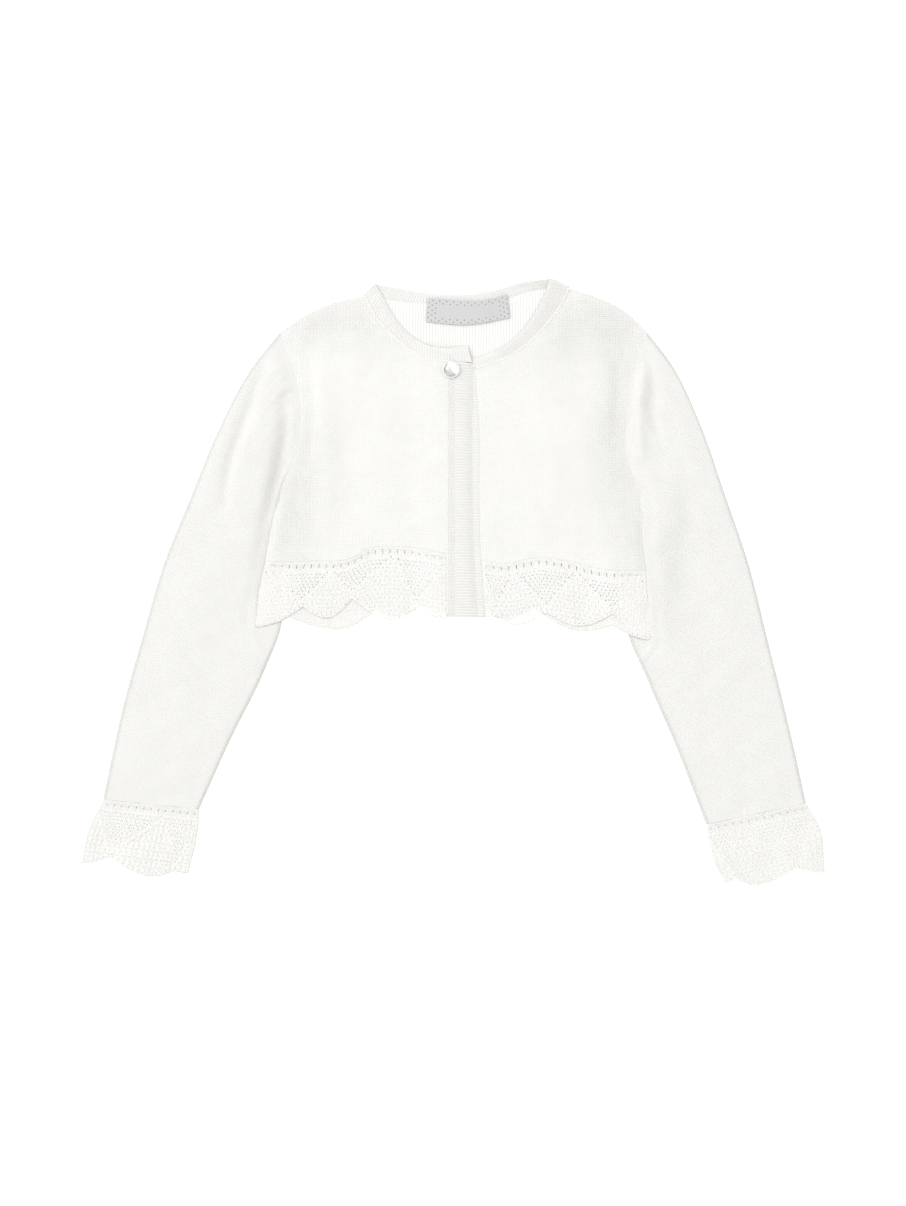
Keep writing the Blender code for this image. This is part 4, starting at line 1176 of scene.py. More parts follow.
def under_band_seam(y):
    """Points of the line where the left front and its lace meet their band."""
    line = curve(UNDER_BAND_SEAM)
    return np.stack([np.interp(y, line[:, 1], line[:, 0]), y], axis=-1)


def back_plan():
    """Plan grid of the back panel."""
    seam, _ = strip_edges(NECKBAND_BACK)
    neck = offset(along(seam, np.linspace(0.0, 1.0, BACK_NECK_COUNT + 1)), -SEAM_GAP)
    first, last = shoulder_row("right"), shoulder_row("left")[::-1]
    neck[0], neck[-1] = first[-1], last[0]
    top = joined(joined(first, neck), last)
    return patch(hem_row("back", BACK_NECK_COUNT, True), top, body_edge("right", BACK_FINENESS),
                 body_edge("left", BACK_FINENESS))


def front_plan(side):
    """Plan grid of a front panel, from its side to the front edge."""
    edge = body_edge(side)
    shoulder = shoulder_row(side)
    if side == "right":
        seam, _ = strip_edges(NECKBAND_RIGHT)
        seam = seam[::-1]
        meets_band = np.interp(FRONT_EDGE_X, seam[:, 0], length_shares(seam))
        aside = 1.0
    else:
        seam, _ = strip_edges(NECKBAND_LEFT)
        meets_band = np.interp(-UNDER_BAND_SEAM[-1].x, -seam[:, 0], length_shares(seam))
        aside = -1.0
    shares = meets_band * rimmed(meets_band * line_length(seam), NECK_COUNT, False, True)
    neck = from_point(offset(along(seam, shares), -aside * SEAM_GAP), shoulder[-1])
    hem = hem_row(side, NECK_COUNT, False)
    if side == "right":
        neck[-1, 0] = FRONT_EDGE_X
        front_edge = np.array([hem[-1], neck[-1]])
    else:
        front_edge = under_band_seam(np.linspace(hem[-1, 1], neck[-1, 1], SEAM_SPOTS))
        front_edge[0], front_edge[-1] = hem[-1], neck[-1]
        front_edge[1:-1, 0] -= BAND_LAP
    return patch(hem, joined(shoulder, neck), edge, along(front_edge, length_shares(edge)))


def make_back(paint):
    """The back panel, its inside visible in the neck opening."""
    plan = back_plan()
    piece = add_panel("back_cloth", plan, body_level("back", plan), paint)
    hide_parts("back")


def make_front(side, paint):
    """A front panel with its soft folds."""
    plan = front_plan(side)
    node = "front_" + side
    fade = smoothstep(rim_distance(plan) / CREASE_FADE)
    folds = CREASE_DEPTH * crease_height(plan, FRONT_CREASES[side])
    folds = np.where(folds < 0.0, DEEPEST * np.tanh(folds / DEEPEST), folds)
    under = body_level(side, plan) + fade * folds
    under += smoothstep(rim_distance(plan) / RIPPLE_FADE) * ripple(plan, node)
    piece = add_panel(node + "_cloth", plan, under, paint)
    # Painted shade at the shoulders and sides
    set_shade_and_stretch(piece, np.tile(crease_height(plan, FRONT_SHADE_AND_STRETCH[side]).ravel(), 2))
    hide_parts(node)


def sleeve_rows(line, steps):
    """Points of a sleeve's fold at distances from the armhole."""
    return along(line, steps / SLEEVE_RUN)


def sleeve_grid(armhole, inner, outer, steps, columns):
    """Plan grid of one sleeve wall between its folds, and each column's share of the width."""
    folds_in, folds_out = sleeve_rows(inner, steps), sleeve_rows(outer, steps)
    width = np.linalg.norm(folds_out - folds_in, axis=1)
    inset = FOLD_RADIUS / width[:, None]
    across = inset + (1 - 2 * inset) * np.linspace(0.0, 1.0, columns)[None]
    straight = folds_in[:, None] + across[..., None] * (folds_out - folds_in)[:, None]
    bow = along(armhole, across[0]) - straight[0]
    return straight + np.exp(-steps / BOW_REACH)[:, None, None] * bow, across


def sleeve_crown(side, plan, across, steps):
    """Height of the hollow in a sleeve: rounded between the folds, flat where it is tucked."""
    x, y = plan[..., 0], plan[..., 1]
    edge = body_outline(side, y)
    outside = edge - x if side == "right" else x - edge
    clear = smoothstep((outside - CROWN_CLEAR) / CROWN_RAMP)
    near_seam = smoothstep((outside - EDGE_CLEAR) / EDGE_RAMP)
    armpit = smoothstep((ARMPIT_TOP_Y - y) / ARMPIT_RAMP)
    beside = 1 - smoothstep((outside + SINK_REACH) / SINK_RAMP)
    sink = (SEAM_SINK + (TUCK_SINK - SEAM_SINK) * armpit) * beside
    sink *= smoothstep((y - SINK_BOTTOM_Y) / SINK_BOTTOM_RAMP)
    hug = HUG_HEIGHT * armpit * bell(outside - HUG_PLACE, HUG_WIDTH)
    arch = np.sqrt(np.sin(np.pi * across))
    run = steps[:, None] * np.ones_like(across)
    to_cuff = smoothstep(run / SLEEVE_RUN * CUFF_LEAD)
    crown = (SLEEVE_CROWN + (CUFF_CROWN - SLEEVE_CROWN) * to_cuff) * arch
    crown *= 1 - (1 - CUFF_END) * smoothstep((run - SLEEVE_RUN) / CUFF_EASE + 1)
    rise = smoothstep(run / GATHER_PEAK)
    for gather in GATHERS:
        fall = 1 - smoothstep((run - GATHER_PEAK) / gather.reach)
        crown = crown + gather.height * rise * fall * bell(across - gather.place, gather.width)
    folds = CREASE_DEPTH * crease_height(plan, SLEEVE_CREASES[side]) * arch
    uneven = ripple(plan, "sleeve_" + side) * arch
    return crown * clear + (folds + uneven) * near_seam * smoothstep(run / EDGE_RAMP) + hug - sink


def fold_arc(edge, beside, z_low, z_high, radius):
    """Points round a fold, from the lower wall to the upper one, row by row."""
    heading = unit_rows(edge - beside)
    middle = (z_low + z_high) / 2
    half = (z_high - z_low) / 2
    arcs = []
    for degrees in np.linspace(-FOLD_DEGREES, FOLD_DEGREES, FOLD_COUNT):
        turn = math.radians(degrees)
        spot = edge + heading * (radius * math.cos(turn))
        arcs.append(np.column_stack([spot, middle + half * math.sin(turn)]))
    return np.stack(arcs, axis=1)


def tube_points(lower, upper, crown, inset):
    """Rings round a lying tube, starting with the lower wall: outside, or inside for an inset."""
    z_low = np.full(lower.shape[:2], inset)
    z_high = LAYER + WALL - inset + crown
    low = np.dstack([lower, z_low])
    high = np.dstack([upper, z_high])
    radius = FOLD_RADIUS - inset
    outer = fold_arc(lower[:, -1], lower[:, -2], z_low[:, -1], z_high[:, -1], radius)
    inner = fold_arc(lower[:, 0], lower[:, 1], z_low[:, 0], z_high[:, 0], radius)
    return np.concatenate([low, outer, high[:, ::-1], inner[:, ::-1]], axis=1)


def sleeve_shade_and_stretch(side, upper, ring):
    """Painted shade round a sleeve, which also deepens its stitch relief: most at its folds, with a band
    beside the body on the upper wall, and none on the lower wall.
    """
    shade_and_stretch = np.full((len(upper), ring), FOLD_SHADE_AND_STRETCH)
    from_fold = np.minimum(np.linalg.norm(upper - upper[:, :1], axis=-1),
                           np.linalg.norm(upper - upper[:, -1:], axis=-1))
    top = FOLD_SHADE_AND_STRETCH * np.exp(-from_fold / FOLD_FADE) + crease_height(upper, SLEEVE_SHADE_AND_STRETCH[side])
    start = LOWER_COLUMNS + FOLD_COUNT
    shade_and_stretch[:, :LOWER_COLUMNS] = 0.0
    shade_and_stretch[:, start:start + UPPER_COLUMNS] = top[:, ::-1]
    return shade_and_stretch


def tube_edges(table, samples=241):
    """The outer and the inner fold of a lying tube, as smooth lines."""
    outer = curve([(row.outer_x, row.outer_y) for row in table], samples)
    inner = curve([(row.inner_x, row.inner_y) for row in table], samples)
    return outer, inner


def make_sleeve(side, paint):
    """A flattened sleeve, gathered at the cap, with its inner edge tucked under the body."""
    outer, inner = tube_edges(SLEEVE[side], SLEEVE_SAMPLES)
    away = 1.0 if side == "right" else -1.0
    armhole = offset(curve(ARMHOLE[side]), -away * SLEEVE_LAP)
    inner, outer = from_point(inner, armhole[0]), from_point(outer, armhole[-1])
    steps = rimmed(SLEEVE_RUN, round(SLEEVE_RUN / SLEEVE_ROW_STEP)) * SLEEVE_RUN
    lower, _ = sleeve_grid(armhole, inner, outer, steps, LOWER_COLUMNS)
    upper, across = sleeve_grid(armhole, inner, outer, steps, UPPER_COLUMNS)
    crown = sleeve_crown(side, upper, across, steps)
    outside = tube_points(lower, upper, crown, 0.0)
    inside = tube_points(lower, upper, crown, SLEEVE_WALL)
    rows, ring = outside.shape[:2]
    count = rows * ring
    ends = []
    for row in (0, rows - 1):
        index = row * ring + np.arange(ring)
        after = np.roll(index, -1)
        ends.append(np.stack([index, after, after + count, index + count], axis=-1))
    faces = [grid_faces(rows, ring, 0, True), grid_faces(rows, ring, count, True)[:, ::-1], *ends]
    points = np.vstack([outside.reshape(-1, 3), inside.reshape(-1, 3)])
    axis = (outer[-1] + inner[-1] - outer[0] - inner[0]) / 2
    axis /= np.linalg.norm(axis)
    uv = np.column_stack([points[:, 0] * axis[1] - points[:, 1] * axis[0], points[:, :2] @ -axis])
    piece = add_piece("sleeve_" + side + "_cloth", points, faces, uv, paint)
    # Painted shade at the folds and beside the body
    set_shade_and_stretch(piece, np.tile(sleeve_shade_and_stretch(side, upper, ring).ravel(), 2))
    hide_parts("sleeve_" + side)


def lace_edge(knots, u):
    """Points of a scalloped edge at shares of its width."""
    x = knots[0].x + u * (knots[-1].x - knots[0].x)
    return np.column_stack([x, scallop_y(knots, u)])


def lace_plan(lace, u, v):
    """Plan points of a lace strip at shares across it and shares down it."""
    seam, edge = along(lace.seam, u), lace_edge(lace.edge, u)
    left, right = along(lace.left, v), along(lace.right, v)
    ends = lace_edge(lace.edge, np.array([0.0, 1.0]))
    first, last = lace.seam[0], lace.seam[-1]
    u, v = u[:, None], v[:, None]
    corners = (1 - v) * ((1 - u) * first + u * last) + v * ((1 - u) * ends[0] + u * ends[1])
    return (1 - v) * seam + v * edge + (1 - u) * left + u * right - corners


def lace_depth(lace, u):
    """Depth of a lace strip at shares across it."""
    return np.linalg.norm(lace_edge(lace.edge, u) - along(lace.seam, u), axis=1)


def lace_span(lace):
    """Length of a lace strip, all round where it is a ring."""
    return lace.width * (2 if lace.ring else 1)


def lace_turns(lace):
    """Places across a strip of its scallops' tips and notches; a ring has its back after them."""
    x = np.array([knot.x for knot in lace.edge])
    places = (x - x[0]) / (x[-1] - x[0]) * lace.width
    if lace.ring:
        places = np.concatenate([places, 2 * lace.width - places[-2::-1]])
    return places


def share_across(lace, s):
    """Share across a strip of a place on it, going back again on a ring's underside."""
    u = s / lace.width
    return np.clip(np.where(u > 1.0, 2.0 - u, u), 0.0, 1.0)


def depth_at(lace, s):
    """Depth of a lace strip at places across it."""
    return lace_depth(lace, share_across(lace, np.atleast_1d(s)))


def wedge_ridges(lace):
    """Raised lines from each scallop's apex down to its notches."""
    places = lace_turns(lace)
    ridges = []
    for k in range(0, len(places), 2):
        for beside in (k - 1, k + 1):
            if 0 <= beside < len(places):
                notch = places[beside]
                ridges.append(Ridge(places[k], WEDGE_TOP, notch, depth_at(lace, notch)[0] - WEDGE_FOOT))
    return ridges


def ridge_run(ridge):
    """Direction and length of a ridge."""
    run = np.array([ridge.s1 - ridge.s0, ridge.t1 - ridge.t0])
    length = np.linalg.norm(run)
    return run / length, length


def ridge_distance(ridge, s, t):
    """Distance of places from a ridge, and how far down it each lies."""
    run, length = ridge_run(ridge)
    down = np.clip((s - ridge.s0) * run[0] + (t - ridge.t0) * run[1], 0.0, length)
    return np.hypot(s - ridge.s0 - down * run[0], t - ridge.t0 - down * run[1]), down


def inside_wedge(lace, s, t):
    """True where a place is in the plain wedge of a scallop."""
    places = lace_turns(lace)
    inside = np.zeros(s.shape, bool)
    for ridge in wedge_ridges(lace):
        share = (t - ridge.t0) / (ridge.t1 - ridge.t0)
        reach = ridge.s0 + share * (ridge.s1 - ridge.s0)
        low, high = np.minimum(ridge.s0, reach), np.maximum(ridge.s0, reach)
        inside |= (share > 0.0) & (s >= low) & (s <= high)
    return inside & (s >= places[0]) & (s <= places[-1])


def wedge_eyelets(ridge):
    """A row of eyelets beside a raised line, outside its wedge."""
    run, length = ridge_run(ridge)
    aside = np.array([run[1], -run[0]]) * (EYELET_ASIDE if run[0] > 0 else -EYELET_ASIDE)
    start = np.array([ridge.s0, ridge.t0])
    return [Hole(*(start + down * run + aside), *EYELET_SIZE)
            for down in np.arange(EYELET_FIRST, length - EYELET_LAST, EYELET_PITCH)]


def staggered_holes(span, first, row_step, starts, pitch, size):
    """Rows of holes down a strip, whose odd and even rows start at two places by turns."""
    return [Hole(s, t, *size)
            for row, t in enumerate(np.arange(first, PATTERN_END, row_step))
            for s in np.arange(starts[row % 2], span, pitch)]


def hole_fits(lace, ridges, hole):
    """True where a hole is clear of the strip's edges, and of the wedges if it is of the mesh."""
    if hole.s - hole.half_s < HOLE_MARGIN or hole.s + hole.half_s > lace_span(lace) - HOLE_MARGIN:
        return False
    depth = depth_at(lace, np.array([hole.s - HOLE_BESIDE, hole.s, hole.s + HOLE_BESIDE])).min()
    if hole.t + hole.half_t > depth - HOLE_FOOT:
        return False
    if hole.half_s != MESH_SIZE[0]:
        return True
    here = (np.array([hole.s]), np.array([hole.t]))
    near = min(ridge_distance(ridge, *here)[0][0] for ridge in ridges)
    return near >= MESH_CLEAR and not inside_wedge(lace, *here)[0]


def lace_holes(lace):
    """The pattern's holes: slits, picots, the wedges' borders, the mesh between them and eyelets."""
    span = lace_span(lace)
    ridges = wedge_ridges(lace)
    wanted = [Hole(s, SLIT_DEPTH + lace.lower, *SLIT_SIZE)
              for s in np.arange(SLIT_PITCH / 2, span - SLIT_LAST, SLIT_PITCH)]
    wanted += [Hole(s, depth_at(lace, s)[0] - PICOT_DEPTH, *PICOT_SIZE)
               for s in np.arange(PICOT_PITCH / 2, span - PICOT_LAST, PICOT_PITCH)]
    for ridge in ridges:
        wanted += wedge_eyelets(ridge)
    wanted += staggered_holes(span, WEDGE_TOP + MESH_FIRST, MESH_PITCH * MESH_ROW_SHARE,
                              (MESH_PITCH / 2, 0.0), MESH_PITCH, MESH_SIZE)
    wanted += staggered_holes(span, WEDGE_TOP + FINE_FIRST, FAN_ROW,
                              (FAN_PITCH, FAN_PITCH / 2), FAN_PITCH, FINE_SIZE)
    kept = []
    for hole in wanted:
        if hole_fits(lace, ridges, hole) and all(clear_between(hole, other) > HOLE_APART for other in kept):
            kept.append(hole)
    return [narrowed(hole, lace.deep(hole.s)) for hole in kept]


def narrowed(hole, deep):
    """A hole drawn closer where a deep hollow lies behind it."""
    share = 1 - DEEP_NARROWING * deep
    return Hole(hole.s, hole.t, hole.half_s * share, hole.half_t * share)


def clear_between(first, second):
    """Roughly the clear distance between two holes."""
    ds, dt = abs(first.s - second.s), abs(first.t - second.t)
    if max(first.half_t, second.half_t) > LONG_HOLE:
        return max(ds - first.half_s - second.half_s, dt - first.half_t - second.half_t)
    return math.hypot(ds, dt) - max(first.half_s, first.half_t) - max(second.half_s, second.half_t)


def hole_outline(hole, grown=0.0):
    """Points round a hole."""
    count = SLIT_SIDES if hole.half_t > LONG_HOLE else EYELET_SIDES
    turn = np.linspace(0.0, 2 * math.pi, count, endpoint=False)
    return np.column_stack([hole.s + (hole.half_s + grown) * np.cos(turn),
                            hole.t + (hole.half_t + grown) * np.sin(turn)])


def lace_outline(lace, step):
    """The strip's outline in its own coordinates, with the small bumps of its picot edge."""
    span = lace_span(lace)
    across = np.linspace(0.0, span, round(span / step) + 1)
    seam = np.column_stack([across, np.full(len(across), SEAM_GAP)])
    fine = np.linspace(0.0, span, round(span / PICOT_STEP) + 1)
    bumps = PICOT_BUMP * np.abs(np.sin(math.pi * fine / PICOT_PITCH)) - PICOT_SETBACK
    edge = np.column_stack([fine, depth_at(lace, fine) + bumps])[::-1]
    up = np.linspace(SEAM_GAP, edge[0, 1], LACE_SIDE_COUNT)[1:-1]
    down = np.linspace(edge[-1, 1], SEAM_GAP, LACE_SIDE_COUNT)[1:-1]
    right = np.column_stack([np.full(len(up), span), up])
    left = np.column_stack([np.zeros(len(down)), down])
    return np.vstack([seam, right, edge, left])


def plan_tree(spots):
    """A search tree of plan points."""
    tree = kdtree.KDTree(len(spots))
    for k, (s, t) in enumerate(spots):
        tree.insert((s, t, 0.0), k)
    tree.balance()
    return tree


def nearest(tree, spot):
    """Distance of a plan point from the nearest one of a tree."""
    return tree.find((*spot, 0.0))[2]


def even_places(lace, step):
    """Places in even triangles all over a lace strip."""
    rows = np.arange(step, lace_depth(lace, np.linspace(0, 1, DEPTH_SAMPLES)).max(), step * ROW_SHARE)
    groups = []
    for k, t in enumerate(rows):
        s = np.arange((k % 2) * step / 2 + step / 2, lace_span(lace), step)
        groups.append(np.column_stack([s, np.full(len(s), t)]))
    return np.vstack(groups)


def on_cloth(lace, holes, group):
    """Those of a group of places that are clear of a strip's outline and outside its holes."""
    s, t = group[:, 0], group[:, 1]
    inside = t < depth_at(lace, s) - OUTLINE_CLEAR
    inside &= (s > END_CLEAR) & (s < lace_span(lace) - END_CLEAR) & (t > OUTLINE_CLEAR)
    for hole in holes:
        swollen = ((s - hole.s) / hole.half_s) ** 2 + ((t - hole.t) / hole.half_t) ** 2
        inside &= swollen > HOLE_SWOLLEN
    return group[inside]


def filling_places(lace, holes, rims, step):
    """Places between a strip's rims: a ring round each hole, then even triangles."""
    rings = np.vstack([hole_outline(hole, RING_ASIDE) for hole in holes])
    taken, beside_holes = plan_tree(rims), plan_tree(rings)
    kept = [spot for spot in on_cloth(lace, holes, rings) if nearest(taken, spot) >= PLACE_CLEAR]
    kept += [spot for spot in on_cloth(lace, holes, even_places(lace, step))
             if nearest(taken, spot) >= PLACE_CLEAR and nearest(beside_holes, spot) >= RING_CLEAR * step]
    return np.array(kept)


def lace_triangles(lace, step):
    """Places on a lace strip, the triangles between them, open at its holes, and its rims."""
    outline = lace_outline(lace, step)
    holes = lace_holes(lace)
    loops = [outline] + [hole_outline(hole) for hole in holes]
    rims = np.vstack(loops)
    filling = filling_places(lace, holes, rims, step)
    owners = [np.full(len(loop), k - 1) for k, loop in enumerate(loops)]
    owner = np.concatenate([*owners, np.full(len(filling), FILLING)])
    edges, first = [], 0
    for loop in loops:
        edges += [(first + k, first + (k + 1) % len(loop)) for k in range(len(loop))]
        first += len(loop)
    found = delaunay_2d_cdt([Vector(place) for place in np.vstack([rims, filling])], edges,
                            [list(range(len(outline)))], 1, SAME_SPOT)
    made = np.array([tuple(place) for place in found[0]])
    names = np.array([owner[old[0]] if old else FILLING for old in found[3]])
    triangles = np.array([face for face in found[2] if len(face) == 3])
    named = names[triangles]
    in_hole = (named >= 0).all(axis=1) & (named.min(axis=1) == named.max(axis=1))
    return made, triangles[~in_hole], rims


def lace_relief(lace, s, t):
    """Raised lines of the pattern: wedge borders, picot edge, ladders and the wedges' fans."""
    height = np.zeros(s.shape)
    for ridge in wedge_ridges(lace):
        near, down = ridge_distance(ridge, s, t)
        twist = TWIST_LEVEL + TWIST_SHARE * np.cos(2 * math.pi * down / TWIST_PITCH)
        height = np.maximum(height, RIDGE_HEIGHT * twist * bell(near, RIDGE_WIDTH))
    height += bulge(depth_at(lace, s) - t, EDGE_CORD)
    height += bulge(t, SLIT_CORD) + bulge(t, SEAM_CORD)
    plain = inside_wedge(lace, s, t)
    ladders = LADDER_HEIGHT * np.cos(2 * math.pi * s / MESH_PITCH)
    fans = FAN_HEIGHT * np.cos(2 * math.pi * s / FAN_PITCH)
    loops = LOOP_HEIGHT * np.cos(math.pi * (s + t) / LOOP_PITCH) * np.cos(math.pi * (s - t) / LOOP_PITCH)
    eased = smoothstep((t - WEDGE_TOP) / PATTERN_EASE)
    return height + loops + np.where(plain, fans, ladders) * eased


def face_normals(points, triangles):
    """Unit normals at the points of a triangle mesh."""
    a, b, c = (points[triangles[:, k]] for k in range(3))
    flat = np.cross(b - a, c - a)
    normals = np.zeros_like(points)
    for k in range(3):
        np.add.at(normals, triangles[:, k], flat)
    return normals / np.maximum(np.linalg.norm(normals, axis=1), 1e-9)[:, None]


def open_edges(triangles):
    """Edges that only one triangle has, in its direction."""
    pairs = np.vstack([triangles[:, [0, 1]], triangles[:, [1, 2]], triangles[:, [2, 0]]])
    keys = np.sort(pairs, axis=1)
    _, first, count = np.unique(keys, axis=0, return_index=True, return_counts=True)
    return pairs[first[count == 1]]


def joined_ends(places, span):
    """Vertex numbers of a ring's places, those at its far end replaced by those at its start."""
    s, t = places[:, 0], places[:, 1]
    start = np.flatnonzero(s < SAME_PLACE)
    end = np.flatnonzero(s > span - SAME_PLACE)
    whole = np.arange(len(places))
    whole[end[np.argsort(t[end])]] = start[np.argsort(t[start])]
    return whole


def rim_nearness(lace, places, rims):
    """Distance of each place from the nearest open rim, which a ring's joined ends are not."""
    s, t = places[:, 0], places[:, 1]
    tree = plan_tree(rims[rims[:, 1] > SEAM_GAP + SEAM_CLEAR])
    near = np.array([nearest(tree, place) for place in places])
    if lace.ring:
        folded = np.minimum(s, lace_span(lace) - s) < FOLDED_SIDE
        folded &= (t > FOLDED_END) & (t < depth_at(lace, s) - FOLDED_END)
        near = np.where(folded, FOLDED_END, near)
    return near


def add_lace(node, lace, centre_of, step, paint):
    """A sheet of lace of real thickness, with rounded strands round its holes."""
    places, triangles, rims = lace_triangles(lace, step)
    s, t = places[:, 0], places[:, 1]
    whole = joined_ends(places, lace_span(lace)) if lace.ring else np.arange(len(places))
    joined_up = whole[triangles]
    points = centre_of(s, t)
    normals = face_normals(points, joined_up)
    near = rim_nearness(lace, places, rims)
    half = LACE_HALF * np.minimum(rolled(near, STRAND_RADIUS, STRAND_LEFT),
                                  rolled(depth_at(lace, s) - t, LACE_EDGE_RADIUS, STRAND_LEFT))
    raised = (2 * half - LACE_HALF + bulge(near, STRAND)
              + lace_relief(lace, s, t) * smoothstep(near / STRAND_RADIUS))
    count = len(places)
    rim = open_edges(joined_up)
    walls = np.column_stack([rim[:, 1], rim[:, 0], rim[:, 0] + count, rim[:, 1] + count])
    numbers = [joined_up, joined_up[:, ::-1] + count, walls]
    uv_numbers = [triangles, triangles[:, ::-1] + count, walls]
    points = np.vstack([points + normals * raised[:, None], points - normals * LACE_HALF])
    used = np.unique(np.concatenate([faces.ravel() for faces in numbers]))
    renumber = np.zeros(len(points), int)
    renumber[used] = np.arange(len(used))
    piece = add_piece(node + "_cloth", points[used], [renumber[faces] for faces in numbers],
                      np.tile(places, (2, 1)), paint, uv_numbers)
    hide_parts(node)


def make_hem_lace(side, paint):
    """A scalloped strip of lace below one panel."""
    seam = curve(HEM_SEAM[side])
    knots = SCALLOPS[side]
    first, last = np.array(knots[0]), np.array(knots[-1])
    left, right = curve(LACE_SIDE["right"]), curve(LACE_SIDE["left"])
    if side == "right":
        right = np.array([seam[-1], last])
    elif side == "left":
        left = under_band_seam(np.linspace(seam[0, 1], first[1], LACE_LEFT_SPOTS))
    left[0], left[-1] = seam[0], first
    right[0], right[-1] = seam[-1], last

    def deep(s):
        if side == "right":
            from_start = s + knots[0].x - OVERLAP_STARTS_X
            return smoothstep((from_start + OVERLAP_DEEP_LEAD) / OVERLAP_DEEP_RAMP)
        if side == "left":
            return smoothstep((BAND_DEEP_END - s) / BAND_DEEP_RAMP)
        return 0.0

    lower = BACK_SLITS_LOWER if side == "back" else 0.0
    lace = Lace(seam, knots, left, right, abs(last[0] - first[0]), lower, False, deep)

    def centre_of(s, t):
        u = share_across(lace, s)
        plan = lace_plan(lace, u, t / lace_depth(lace, u))
        down = smoothstep(t / LACE_SINK_RAMP)
        if side == "back":
            lift = BACK_LACE_LIFT * down
        else:
            aside = smoothstep((np.abs(plan[:, 0]) - LACE_SIDE_X) / LACE_SIDE_RAMP)
            lift = LACE_RISE * (1 - down) - (LACE_SINK + LACE_SIDE_SINK * aside) * down
        if side == "left":
            lift *= smoothstep((s - LACE_BAND_START) / LACE_BAND_EASE)
            plan[:, 0] -= BAND_LAP * (1 - smoothstep(s / LACE_LAP_RAMP))
        plan[:, 1] += LACE_LAP * (1 - smoothstep(t / LACE_LAP_RAMP))
        level = body_level(side, plan) + WALL / 2 + lift * (1 - side_closing(plan))
        uneven = ripple(plan, "hem_lace") * smoothstep(t / LACE_RIPPLE_FADE)
        return np.column_stack([plan, level + uneven])

    step = BACK_LACE_STEP if side == "back" else LACE_STEP
    add_lace("hem_lace_" + side, lace, centre_of, step, paint)


def make_cuff(side, paint):
    """A flared ring of lace, lying flat, scalloped at its lower edge."""
    outer, inner = tube_edges(CUFF[side])
    knots = CUFF_SCALLOPS[side]
    seam = np.array([inner[0], outer[0]])
    width = (line_length(seam) + abs(knots[-1].x - knots[0].x)) / 2
    lace = Lace(seam, knots, inner, outer, width, 0.0, True, lambda s: CUFF_DEEP)
    middle = LAYER / 2 + WALL / 2
    lift = LAYER / 2

    def centre_of(s, t):
        u = share_across(lace, s)
        plan = lace_plan(lace, u, t / lace_depth(lace, u))
        aside = np.minimum(u, 1 - u) * width
        turn = np.sqrt(1 - (1 - np.clip(aside / lift, 0.0, 1.0)) ** 2)
        crown = CUFF_CROWN * CUFF_END * np.sqrt(np.sin(np.pi * np.clip(u, 0.0, 1.0)))
        flattened = CUFF_SINK * smoothstep(t / CUFF_SINK_RAMP) * turn
        joining = CUFF_SEAM_RISE * (1 - smoothstep(t / CUFF_SEAM_RAMP)) * turn
        uneven = ripple(plan, "cuff_lace") * turn
        upper = middle + lift * turn + crown * (1 - flattened) + uneven + joining - flattened
        return np.column_stack([plan, np.where(s <= width, upper, middle - lift * turn)])

    add_lace("cuff_lace_" + side, lace, centre_of, LACE_STEP, paint)


def strip_piece(name, seam, free, normal, outer_rib, inner_rib, lengths, paint, flat_share=0.0,
                droop=0.0):
    """A ribbed strip, with ribs on its outer and inner face, and its mean width."""
    across = np.array(STRIP_SHARES)
    width = np.linalg.norm(free - seam, axis=1)
    centre = seam[:, None] + across[None, :, None] * (free - seam)[:, None]
    ends = np.minimum(lengths, lengths[-1] - lengths)[:, None]
    to_free = (1 - across)[None] * width[:, None]
    from_free = FREE_LEFT + (1 - FREE_LEFT) * smoothstep(to_free / FREE_RADIUS)
    from_seam = rolled(across[None] * width[:, None], STRIP_SEAM_RADIUS, STRIP_SEAM_LEFT)
    from_ends = rolled(ends, STRIP_END_RADIUS, STRIP_END_LEFT)
    half = RIB_BASE / 2 * np.minimum(np.minimum(from_free, from_seam), from_ends)
    fall = RIB_BASE / 2 - half + droop * smoothstep(1 - to_free / DROOP_RUN)
    centre = centre - normal[:, None] * fall[..., None]
    wave = 0.5 - 0.5 * np.cos(2 * math.pi * lengths / RIB_PITCH)
    ribbed = smoothstep((across - flat_share) / RIB_STARTS) * smoothstep((1 - across) / RIB_FADES)
    rib = (RIB_HEIGHT + RIB_SWELL) * wave[:, None] * ribbed[None] * smoothstep(ends / RIB_END_RAMP)
    outer = centre + normal[:, None] * (half + rib * outer_rib[:, None])[..., None]
    inner = centre - normal[:, None] * (half + rib * inner_rib[:, None])[..., None]
    rings = np.concatenate([outer, inner[:, ::-1]], axis=1)
    rows, ring = rings.shape[:2]
    caps = []
    for start in (0, (rows - 1) * ring):
        cap = start + np.arange(ring)
        top, bottom = cap[:len(across)], cap[len(across):][::-1]
        caps.append(np.stack([top[:-1], top[1:], bottom[1:], bottom[:-1]], axis=-1))
    uv_across = np.concatenate([across, across[::-1]])
    uv = np.dstack([np.repeat(lengths[:, None], ring, axis=1),
                    uv_across[None] * width[:, None]]).reshape(-1, 2)
    piece = add_piece(name, rings.reshape(-1, 3), [grid_faces(rows, ring, 0, True), *caps], uv,
                      paint)
    return piece, float(width.mean())


def sampled(line, step):
    """Even shares of a plan line's length, about a step apart."""
    length = line_length(line)
    return np.linspace(0.0, length, round(length / step) + 1) / length


